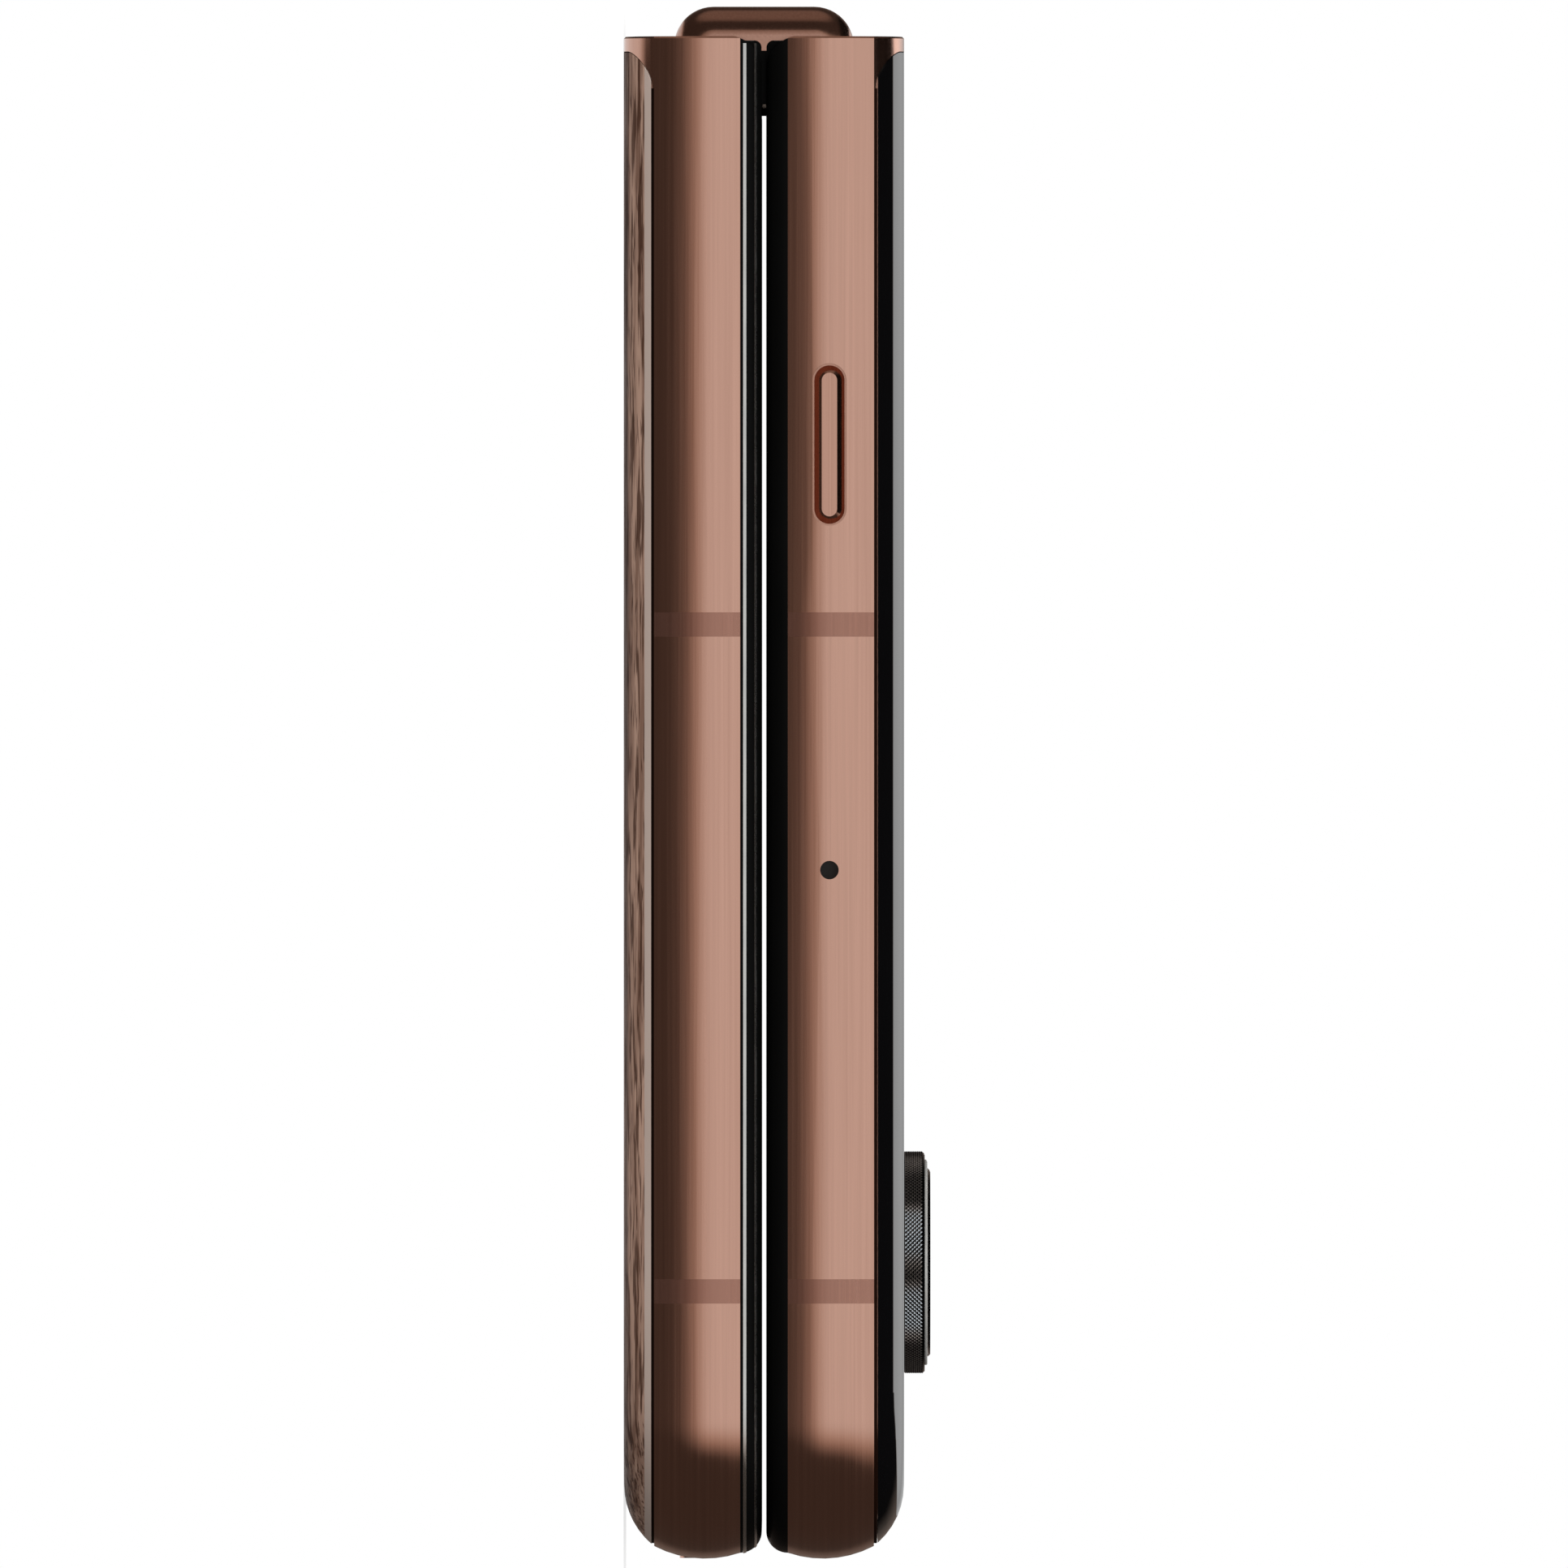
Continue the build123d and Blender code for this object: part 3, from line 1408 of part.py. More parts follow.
with BuildPart() as key_switches:
    for key_name, side, y, key_size, bevel in key_rows:
        domes_in_row = 2 if key_name == "volume_key" else 1
        with BuildSketch(Plane.YZ.offset(side * (switch_face - switch_height))) as domes:
            with Locations((y, key_z)):
                with GridLocations(key_size[0] / 2, 0, domes_in_row, 1):
                    Circle(switch_dome)
        extrude(amount=side * switch_height)
        with BuildSketch(Plane.YZ.offset(side * (switch_face - switch_height))) as strip:
            with Locations((y, board_z)):
                Rectangle(
                    key_size[0],
                    key_z + switch_strip_rise - board_z,
                    align=(Align.CENTER, Align.MIN),
                )
        extrude(amount=-side * switch_strip)
key_switches.part.label = "key_switches"
export_step(key_switches.part, "parts/key_switches.step")
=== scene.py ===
import json
from math import cos, pi, radians, sin, sqrt

import bmesh
import bpy
from mathutils import Matrix, Vector


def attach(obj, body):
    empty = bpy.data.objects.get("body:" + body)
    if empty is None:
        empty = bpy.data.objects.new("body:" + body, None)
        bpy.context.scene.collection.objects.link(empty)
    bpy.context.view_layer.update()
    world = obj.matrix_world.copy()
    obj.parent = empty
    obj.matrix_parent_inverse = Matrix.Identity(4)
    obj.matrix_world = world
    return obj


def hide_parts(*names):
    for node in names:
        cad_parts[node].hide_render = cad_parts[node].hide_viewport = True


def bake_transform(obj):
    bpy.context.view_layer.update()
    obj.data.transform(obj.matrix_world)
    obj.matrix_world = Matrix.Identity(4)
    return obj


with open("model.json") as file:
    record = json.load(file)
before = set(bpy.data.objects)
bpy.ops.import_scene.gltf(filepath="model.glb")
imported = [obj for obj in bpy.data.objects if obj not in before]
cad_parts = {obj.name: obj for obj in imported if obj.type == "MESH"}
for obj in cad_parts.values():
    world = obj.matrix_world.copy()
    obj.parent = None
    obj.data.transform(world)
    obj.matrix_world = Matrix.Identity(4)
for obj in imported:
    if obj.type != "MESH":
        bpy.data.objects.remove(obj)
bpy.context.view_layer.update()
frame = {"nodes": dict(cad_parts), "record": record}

nodes = frame["nodes"]
mm = 0.001
print("frame loaded:", len(nodes), "nodes")


# helpers for node trees

def addNode(tree, kind, inputs=None, **settings):
    node = tree.nodes.new(kind)
    for name, value in settings.items():
        setattr(node, name, value)
    for name, value in (inputs or {}).items():
        if isinstance(value, bpy.types.NodeSocket):
            tree.links.new(value, node.inputs[name])
        else:
            node.inputs[name].default_value = value
    return node


def mathNode(tree, operation, a, b=0.0):
    return addNode(tree, "ShaderNodeMath", {0: a, 1: b}, operation=operation).outputs[0]


def vectorNode(tree, operation, a, b):
    return addNode(tree, "ShaderNodeVectorMath", {0: a, 1: b}, operation=operation).outputs[0]


def mixColour(tree, factor, low, high, blend="MIX"):
    node = addNode(tree, "ShaderNodeMix", {0: factor, 6: low, 7: high}, data_type="RGBA", blend_type=blend)
    return node.outputs[2]


def rampValue(tree, value, low, high, toLow=0.0, toHigh=1.0, smooth=False):
    inputs = {"Value": value, "From Min": low, "From Max": high, "To Min": toLow, "To Max": toHigh}
    kind = "SMOOTHSTEP" if smooth else "LINEAR"
    return addNode(tree, "ShaderNodeMapRange", inputs, interpolation_type=kind).outputs[0]


def newMaterial(name):
    material = bpy.data.materials.new(name)
    material.use_nodes = True
    tree = material.node_tree
    shader = tree.nodes["Principled BSDF"]
    return material, tree, shader


def newGroup(name, inputs, outputs):
    group = bpy.data.node_groups.new(name, "ShaderNodeTree")
    for label, kind, value in inputs:
        socket = group.interface.new_socket(label, in_out="INPUT", socket_type=kind)
        socket.default_value = value
    for label, kind in outputs:
        group.interface.new_socket(label, in_out="OUTPUT", socket_type=kind)
    start = group.nodes.new("NodeGroupInput")
    end = group.nodes.new("NodeGroupOutput")
    return group, start, end


def useGroup(tree, group, **values):
    node = tree.nodes.new("ShaderNodeGroup")
    node.node_tree = group
    for name, value in values.items():
        node.inputs[name].default_value = value
    return node


# surface effects that several materials share

def makeBrushGroup():
    # long brush marks; both inputs are frequencies per metre in X, Y and Z
    group, start, end = newGroup(
        "brushMarks",
        [
            ("Frequency", "NodeSocketVector", (60.0, 60.0, 9000.0)),
            ("Broad", "NodeSocketVector", (12.0, 12.0, 900.0)),
        ],
        [("Lines", "NodeSocketFloat"), ("Streaks", "NodeSocketFloat")],
    )
    coordinates = addNode(group, "ShaderNodeTexCoord").outputs["Object"]
    for label, source, detail in (("Lines", "Frequency", 4.0), ("Streaks", "Broad", 3.0)):
        place = vectorNode(group, "MULTIPLY", coordinates, start.outputs[source])
        noise = addNode(
            group, "ShaderNodeTexNoise",
            {"Vector": place, "Scale": 1.0, "Detail": detail, "Roughness": 0.65},
        )
        group.links.new(noise.outputs["Fac"], end.inputs[label])
    return group


def makeGrainGroup():
    # fine moulded or blasted grain, with a slow change of sheen across the surface
    group, start, end = newGroup(
        "fineGrain",
        [("Grain Size", "NodeSocketFloat", 9000.0), ("Sheen Size", "NodeSocketFloat", 60.0)],
        [("Grain", "NodeSocketFloat"), ("Sheen", "NodeSocketFloat")],
    )
    coordinates = addNode(group, "ShaderNodeTexCoord").outputs["Object"]
    for label, source, detail in (("Grain", "Grain Size", 2.0), ("Sheen", "Sheen Size", 4.0)):
        noise = addNode(
            group, "ShaderNodeTexNoise",
            {"Vector": coordinates, "Scale": start.outputs[source], "Detail": detail},
        )
        group.links.new(noise.outputs["Fac"], end.inputs[label])
    return group


brushMarks = makeBrushGroup()
fineGrain = makeGrainGroup()
noiseMiddle = (0.3, 0.7)  # most of a noise's values lie in this span
noiseWide = (0.25, 0.75)


def addBump(tree, shader, height, strength, distance):
    bump = addNode(tree, "ShaderNodeBump", {"Height": height, "Strength": strength, "Distance": distance})
    tree.links.new(bump.outputs[0], shader.inputs["Normal"])


# materials

def makeBrushedMetal(name, look):
    quarterTurn = 0.25
    lineShare = 0.25
    material, tree, shader = newMaterial(name)
    marks = useGroup(tree, brushMarks, Frequency=look["frequency"], Broad=look["broad"])
    lines, streaks = marks.outputs["Lines"], marks.outputs["Streaks"]
    colour = mixColour(tree, rampValue(tree, lines, *noiseMiddle), look["dark"], look["bright"])
    tree.links.new(colour, shader.inputs["Base Color"])
    rough = rampValue(tree, lines, *noiseWide, look["smooth"], look["rough"])
    tree.links.new(rough, shader.inputs["Roughness"])
    shader.inputs["Metallic"].default_value = look.get("metallic", 1.0)
    if look["anisotropic"]:
        shader.inputs["Anisotropic"].default_value = look["anisotropic"]
        shader.inputs["Anisotropic Rotation"].default_value = quarterTurn
        tangent = addNode(tree, "ShaderNodeTangent", direction_type="RADIAL", axis=look["axis"])
        tree.links.new(tangent.outputs[0], shader.inputs["Tangent"])
    height = mathNode(tree, "ADD", mathNode(tree, "MULTIPLY", lines, lineShare), streaks)
    addBump(tree, shader, height, look["bump"], look["depth"])
    return material


def makeGrained(name, look):
    material, tree, shader = newMaterial(name)
    grain = useGroup(tree, fineGrain, **{"Grain Size": look["grain"], "Sheen Size": look["sheen"]})
    colour = mixColour(tree, grain.outputs["Sheen"], look["dark"], look["bright"])
    tree.links.new(colour, shader.inputs["Base Color"])
    rough = rampValue(tree, grain.outputs["Sheen"], *noiseMiddle, look["smooth"], look["rough"])
    tree.links.new(rough, shader.inputs["Roughness"])
    shader.inputs["Metallic"].default_value = look.get("metallic", 0.0)
    shader.inputs["Specular IOR Level"].default_value = look.get("specular", 0.5)
    shader.inputs["Coat Weight"].default_value = look.get("coat", 0.0)
    shader.inputs["Coat Roughness"].default_value = look.get("coatRough", 0.05)
    addBump(tree, shader, grain.outputs["Grain"], look["bump"], look["depth"])
    return material


metalLooks = {
    "bronzeMetal": {
        "dark": (0.465, 0.268, 0.205, 1.0), "bright": (0.55, 0.324, 0.25, 1.0),
        "smooth": 0.13, "rough": 0.24, "anisotropic": 0.5, "axis": "Z",
        "frequency": (30.0, 30.0, 4600.0), "broad": (26.0, 26.0, 1100.0),
        "bump": 0.4, "depth": 0.016 * mm,
    },
    "spineMetal": {
        "dark": (0.36, 0.205, 0.155, 1.0), "bright": (0.42, 0.245, 0.19, 1.0),
        "smooth": 0.16, "rough": 0.22, "anisotropic": 0.0, "axis": "X",
        "frequency": (90.0, 7000.0, 7000.0), "broad": (14.0, 900.0, 900.0),
        "bump": 0.12, "depth": 0.006 * mm,
    },
    "keyMetal": {
        "dark": (0.46, 0.265, 0.2, 1.0), "bright": (0.56, 0.33, 0.255, 1.0),
        "smooth": 0.1, "rough": 0.18, "anisotropic": 0.4, "axis": "Z",
        "frequency": (50.0, 50.0, 12000.0), "broad": (14.0, 14.0, 1600.0),
        "bump": 0.25, "depth": 0.01 * mm,
    },
    "bandPlastic": {
        "dark": (0.29, 0.145, 0.108, 1.0), "bright": (0.34, 0.175, 0.132, 1.0),
        "smooth": 0.2, "rough": 0.28, "anisotropic": 0.3, "axis": "Z",
        "frequency": (50.0, 50.0, 9000.0), "broad": (14.0, 14.0, 1300.0),
        "bump": 0.2, "depth": 0.01 * mm, "metallic": 0.9,
    },
    # light grey metal for the rim beads: its light colour is a painted highlight on the black rubber rim
    "beadHighlightMetal": {
        "dark": (0.44, 0.44, 0.43, 1.0), "bright": (0.6, 0.6, 0.58, 1.0),
        "smooth": 0.2, "rough": 0.34, "anisotropic": 0.0, "axis": "Z",
        "frequency": (400.0, 400.0, 6000.0), "broad": (90.0, 90.0, 900.0),
        "bump": 0.1, "depth": 0.004 * mm,
    },
    "stepMetal": {
        "dark": (0.42, 0.42, 0.4, 1.0), "bright": (0.55, 0.55, 0.53, 1.0),
        "smooth": 0.3, "rough": 0.45, "anisotropic": 0.0, "axis": "Z",
        "frequency": (900.0, 900.0, 6000.0), "broad": (200.0, 200.0, 900.0),
        "bump": 0.1, "depth": 0.004 * mm, "metallic": 0.35,
    },
    # light metal only for the knurl facets tilted towards the ring's top: a painted highlight
    "knurlHighlightMetal": {
        "dark": (0.32, 0.35, 0.38, 1.0), "bright": (0.54, 0.58, 0.61, 1.0),
        "smooth": 0.1, "rough": 0.17, "anisotropic": 0.0, "axis": "Z",
        "frequency": (3000.0, 3000.0, 6000.0), "broad": (600.0, 600.0, 900.0),
        "bump": 0.05, "depth": 0.003 * mm,
    },
    "steel": {
        "dark": (0.42, 0.42, 0.43, 1.0), "bright": (0.62, 0.62, 0.63, 1.0),
        "smooth": 0.25, "rough": 0.4, "anisotropic": 0.4, "axis": "Z",
        "frequency": (60.0, 3000.0, 3000.0), "broad": (14.0, 400.0, 400.0),
        "bump": 0.3, "depth": 0.01 * mm,
    },
    "hingeSteel": {
        "dark": (0.3, 0.3, 0.31, 1.0), "bright": (0.5, 0.5, 0.52, 1.0),
        "smooth": 0.2, "rough": 0.36, "anisotropic": 0.3, "axis": "X",
        "frequency": (80.0, 5000.0, 5000.0), "broad": (20.0, 700.0, 700.0),
        "bump": 0.3, "depth": 0.01 * mm,
    },
    "screwSteel": {
        "dark": (0.12, 0.12, 0.13, 1.0), "bright": (0.22, 0.22, 0.23, 1.0),
        "smooth": 0.22, "rough": 0.4, "anisotropic": 0.0, "axis": "Z",
        "frequency": (4000.0, 4000.0, 4000.0), "broad": (900.0, 900.0, 900.0),
        "bump": 0.2, "depth": 0.01 * mm,
    },
    "contactGold": {
        "dark": (0.66, 0.42, 0.16, 1.0), "bright": (0.86, 0.6, 0.28, 1.0),
        "smooth": 0.18, "rough": 0.32, "anisotropic": 0.0, "axis": "Y",
        "frequency": (6000.0, 900.0, 6000.0), "broad": (1500.0, 300.0, 1500.0),
        "bump": 0.1, "depth": 0.004 * mm,
    },
}

plainLooks = {
    "shellPlastic": {"dark": (0.42, 0.325, 0.275, 1), "bright": (0.52, 0.41, 0.355, 1), "smooth": 0.34,
                     "rough": 0.5, "grain": 14000.0, "sheen": 90.0, "bump": 0.15, "depth": 0.01 * mm},
    "adhesive": {"dark": (0.01, 0.01, 0.011, 1), "bright": (0.03, 0.03, 0.032, 1), "smooth": 0.5,
                 "rough": 0.8, "grain": 8000.0, "sheen": 200.0, "bump": 0.3, "depth": 0.02 * mm},
    "seamRubber": {"dark": (0.006, 0.002, 0.001, 1), "bright": (0.012, 0.004, 0.002, 1), "smooth": 0.5,
                   "rough": 0.7, "grain": 12000.0, "sheen": 200.0, "bump": 0.1, "depth": 0.004 * mm,
                   "specular": 0.05},
    "bezelRubber": {"dark": (0.0015, 0.0015, 0.0014, 1), "bright": (0.003, 0.003, 0.003, 1), "smooth": 0.3,
                    "rough": 0.45, "grain": 16000.0, "sheen": 120.0, "bump": 0.15, "depth": 0.004 * mm,
                    "specular": 0.03},
    "battery": {"dark": (0.015, 0.015, 0.017, 1), "bright": (0.03, 0.03, 0.034, 1), "smooth": 0.3,
                "rough": 0.5, "grain": 3000.0, "sheen": 50.0, "bump": 0.3, "depth": 0.02 * mm},
    "copper": {"dark": (0.62, 0.24, 0.11, 1), "bright": (0.78, 0.36, 0.2, 1), "smooth": 0.18, "rough": 0.34,
               "grain": 9000.0, "sheen": 300.0, "bump": 0.2, "depth": 0.01 * mm, "metallic": 1.0},
    "ferrite": {"dark": (0.02, 0.02, 0.02, 1), "bright": (0.05, 0.05, 0.052, 1), "smooth": 0.5, "rough": 0.7,
                "grain": 5000.0, "sheen": 120.0, "bump": 0.4, "depth": 0.02 * mm},
    "capPlastic": {"dark": (0.0015, 0.0015, 0.0015, 1), "bright": (0.0035, 0.0035, 0.0035, 1), "smooth": 0.34,
                   "rough": 0.5, "grain": 14000.0, "sheen": 150.0, "bump": 0.15, "depth": 0.006 * mm,
                   "specular": 0.03},
    "board": {"dark": (0.008, 0.03, 0.02, 1), "bright": (0.014, 0.06, 0.035, 1), "smooth": 0.3, "rough": 0.45,
              "grain": 4000.0, "sheen": 400.0, "bump": 0.3, "depth": 0.02 * mm},
    "modulePlastic": {"dark": (0.006, 0.006, 0.007, 1), "bright": (0.014, 0.014, 0.016, 1), "smooth": 0.32,
                      "rough": 0.5, "grain": 9000.0, "sheen": 200.0, "bump": 0.25, "depth": 0.01 * mm},
    "ringMetal": {"dark": (0.03, 0.031, 0.033, 1), "bright": (0.055, 0.056, 0.06, 1), "smooth": 0.18,
                  "rough": 0.3, "grain": 12000.0, "sheen": 300.0, "bump": 0.12, "depth": 0.004 * mm,
                  "metallic": 1.0},
    "lensCoating": {"dark": (0.004, 0.006, 0.022, 1), "bright": (0.02, 0.008, 0.035, 1), "smooth": 0.02,
                    "rough": 0.06, "grain": 500.0, "sheen": 160.0, "bump": 0.02, "depth": 0.002 * mm,
                    "specular": 0.9, "coat": 1.0, "coatRough": 0.02},
}


def makeWood():
    look = {
        "pale": (0.47, 0.3, 0.225, 1), "middle": (0.22, 0.122, 0.085, 1), "deep": (0.05, 0.017, 0.008, 1),
        "figure": (700.0, 70.0, 2400.0), "fibre": (2600.0, 230.0, 5200.0), "pore": (5200.0, 420.0, 9000.0),
        "figureDetail": 3.0, "figureBend": 0.6, "fibreDetail": 3.0, "poreDetail": 2.0,
        "figureSpan": (0.4, 0.6), "fibreSpan": (0.5, 0.6), "poreSpan": (0.58, 0.66), "poreDip": (0.58, 0.7),
        "marks": 0.8, "sideEdge": (32.5 * mm, 34.0 * mm), "endEdge": (-41.5 * mm, -38.5 * mm),
        "edgeHeight": (0.12 * mm, 0.36 * mm), "paintedShadeStrength": 0.72, "smooth": 0.36, "rough": 0.56,
        "specular": 0.03, "fibreHeight": 0.4, "bump": 0.5, "depth": 0.03 * mm,
    }
    material, tree, shader = newMaterial("woodSkin")
    coordinates = addNode(tree, "ShaderNodeTexCoord").outputs["Object"]

    def layer(frequency, detail, distortion=0.0):
        place = vectorNode(tree, "MULTIPLY", coordinates, frequency)
        noise = addNode(
            tree, "ShaderNodeTexNoise",
            {"Vector": place, "Scale": 1.0, "Detail": detail, "Distortion": distortion},
        )
        return noise.outputs["Fac"]

    figure = layer(look["figure"], look["figureDetail"], look["figureBend"])
    fibre = layer(look["fibre"], look["fibreDetail"])
    pore = layer(look["pore"], look["poreDetail"])
    body = mixColour(tree, rampValue(tree, figure, *look["figureSpan"]), look["middle"], look["pale"])
    body = mixColour(tree, rampValue(tree, fibre, *look["fibreSpan"], 0.0, look["marks"]), body, look["deep"])
    body = mixColour(tree, rampValue(tree, pore, *look["poreSpan"], 0.0, look["marks"]), body, look["deep"])
    # painted shade: darker where the skin starts to curve down at its long sides and free end
    place = addNode(tree, "ShaderNodeSeparateXYZ", {0: coordinates})
    across = mathNode(tree, "ABSOLUTE", place.outputs["X"])
    side = rampValue(tree, across, *look["sideEdge"], smooth=True)
    end = rampValue(tree, place.outputs["Y"], *look["endEdge"], 1.0, 0.0, smooth=True)
    near = mathNode(tree, "MAXIMUM", side, end)
    paintedShade = rampValue(tree, place.outputs["Z"], *look["edgeHeight"], look["paintedShadeStrength"], 0.0, smooth=True)
    body = mixColour(tree, mathNode(tree, "MULTIPLY", near, paintedShade), body, look["deep"])
    tree.links.new(body, shader.inputs["Base Color"])
    rough = rampValue(tree, fibre, *noiseMiddle, look["smooth"], look["rough"])
    tree.links.new(rough, shader.inputs["Roughness"])
    shader.inputs["Specular IOR Level"].default_value = look["specular"]
    raised = mathNode(tree, "MULTIPLY", fibre, look["fibreHeight"])
    height = mathNode(tree, "SUBTRACT", raised, rampValue(tree, pore, *look["poreDip"]))
    addBump(tree, shader, height, look["bump"], look["depth"])
    return material


def makeGlass(name, look):
    shared = {"grain": 700.0, "sheen": 45.0, "sheenSpan": (0.35, 0.7), "bump": 0.02, "depth": 0.01 * mm}
    material, tree, shader = newMaterial(name)
    grain = useGroup(tree, fineGrain, **{"Grain Size": shared["grain"], "Sheen Size": shared["sheen"]})
    colour = mixColour(tree, grain.outputs["Sheen"], look["dark"], look["bright"])
    tree.links.new(colour, shader.inputs["Base Color"])
    rough = rampValue(tree, grain.outputs["Sheen"], *shared["sheenSpan"], look["smooth"], look["rough"])
    tree.links.new(rough, shader.inputs["Roughness"])
    shader.inputs["Specular IOR Level"].default_value = look["specular"]
    shader.inputs["Transmission Weight"].default_value = look.get("transmission", 0.0)
    addBump(tree, shader, grain.outputs["Grain"], shared["bump"], shared["depth"])
    return material


def makeFlash():
    # diffuser with the fine round steps of a small Fresnel lens
    look = {
        "centre": (-3.0 * mm, -27.5 * mm, 0.0), "dark": (0.55, 0.5, 0.33, 1), "bright": (0.85, 0.8, 0.62, 1),
        "stepsPerMetre": 5200.0, "smooth": 0.16, "rough": 0.32, "bump": 0.6, "depth": 0.03 * mm,
    }
    material, tree, shader = newMaterial("flashPlastic")
    coordinates = addNode(tree, "ShaderNodeTexCoord").outputs["Object"]
    offset = vectorNode(tree, "SUBTRACT", coordinates, look["centre"])
    flat = vectorNode(tree, "MULTIPLY", offset, (1.0, 1.0, 0.0))
    radius = addNode(tree, "ShaderNodeVectorMath", {0: flat}, operation="LENGTH").outputs["Value"]
    steps = mathNode(tree, "FRACT", mathNode(tree, "MULTIPLY", radius, look["stepsPerMetre"]))
    tree.links.new(mixColour(tree, steps, look["dark"], look["bright"]), shader.inputs["Base Color"])
    rough = rampValue(tree, steps, 0.0, 1.0, look["smooth"], look["rough"])
    tree.links.new(rough, shader.inputs["Roughness"])
    addBump(tree, shader, steps, look["bump"], look["depth"])
    return material


glassLooks = {
    "blackGlass": {"dark": (0.0012, 0.0012, 0.0014, 1), "bright": (0.002, 0.002, 0.0024, 1), "smooth": 0.004,
                   "rough": 0.03, "specular": 1.0},
    "innerDisplay": {"dark": (0.003, 0.003, 0.004, 1), "bright": (0.006, 0.006, 0.008, 1), "smooth": 0.05,
                     "rough": 0.14, "specular": 0.5},
    "lensGlass": {"dark": (0.82, 0.86, 0.92, 1), "bright": (0.94, 0.95, 0.98, 1), "smooth": 0.0,
                  "rough": 0.015, "specular": 0.5, "transmission": 1.0},
}

materials = {name: makeBrushedMetal(name, look) for name, look in metalLooks.items()}
materials.update({name: makeGrained(name, look) for name, look in plainLooks.items()})
materials.update({name: makeGlass(name, look) for name, look in glassLooks.items()})
materials["woodSkin"] = makeWood()
materials["flashPlastic"] = makeFlash()
print("materials made:", len(materials))

slotMaterials = {
    "bronze_metal": "bronzeMetal", "band_plastic": "bandPlastic", "wood_skin": "woodSkin",
    "shell_plastic": "shellPlastic", "adhesive": "adhesive", "bezel_rubber": "bezelRubber",
    "inner_display": "innerDisplay", "battery": "battery", "copper": "copper", "ferrite": "ferrite",
    "steel": "steel", "hinge_steel": "hingeSteel", "screw_steel": "screwSteel", "spine_metal": "spineMetal",
    "cap_plastic": "capPlastic", "board": "board", "module_plastic": "modulePlastic",
    "black_glass": "blackGlass", "ring_metal": "ringMetal", "lens_glass": "lensGlass",
    "flash_plastic": "flashPlastic", "key_metal": "keyMetal",
}
for part in frame["record"]["subparts"]:
    finish = slotMaterials[part["material_slot"]]
    nodes[part["node"]].material_slots[0].material = materials[finish]


# shapes

creaseAngle = radians(32)


def placeMesh(name, points, faces, finishes, body, smooth=False, faceFinish=None):
    mesh = bpy.data.meshes.new(name)
    mesh.from_pydata(points, [], faces)
    mesh.update()
    if smooth:
        mesh.shade_smooth()
        mesh.set_sharp_from_angle(angle=creaseAngle)
    else:
        mesh.shade_flat()
    piece = bpy.data.objects.new(name, mesh)
    bpy.context.scene.collection.objects.link(piece)
    for finish in finishes:
        mesh.materials.append(finish)
    if faceFinish:
        mesh.polygons.foreach_set("material_index", faceFinish)
    if body:
        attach(piece, body)
    return piece


def turnPiece(name, profile, centre, columns, finish, body):
    # turns a profile of (radius, height) pairs about an upright line; a zero radius closes it
    points, rows, faces = [], [], []
    for radius, height in profile:
        count = 1 if radius == 0 else columns
        rows.append((len(points), count))
        for i in range(count):
            angle = 2 * pi * i / columns
            points.append((centre[0] + radius * cos(angle), centre[1] + radius * sin(angle), height))
    for (low, lowCount), (high, highCount) in zip(rows, rows[1:]):
        for i in range(columns):
            j = (i + 1) % columns
            ring = [low + i % lowCount, low + j % lowCount, high + j % highCount, high + i % highCount]
            faces.append(tuple(dict.fromkeys(ring)))
    placeMesh(name, points, faces, [finish], body, smooth=True)


# camera rings with a diamond knurl, and what shows below their windows

ringLook = {
    "radius": 6.325 * mm, "stepRadius": 5.85 * mm, "bore": 5.352 * mm, "neck": 5.7 * mm,
    "chamfer": 0.13 * mm, "base": 15.9 * mm, "top": 17.15 * mm, "step": 17.3 * mm, "root": 14.7 * mm,
    "teeth": 160, "rows": 4, "depth": 0.046 * mm, "edge": 0.05 * mm, "border": 0.01 * mm, "borderIn": 0.3,
    "stepRows": (1, 2, 3),  # rows of the profile that make the bright step at the top
    "finishes": ("ringMetal", "stepMetal", "knurlHighlightMetal"),
}


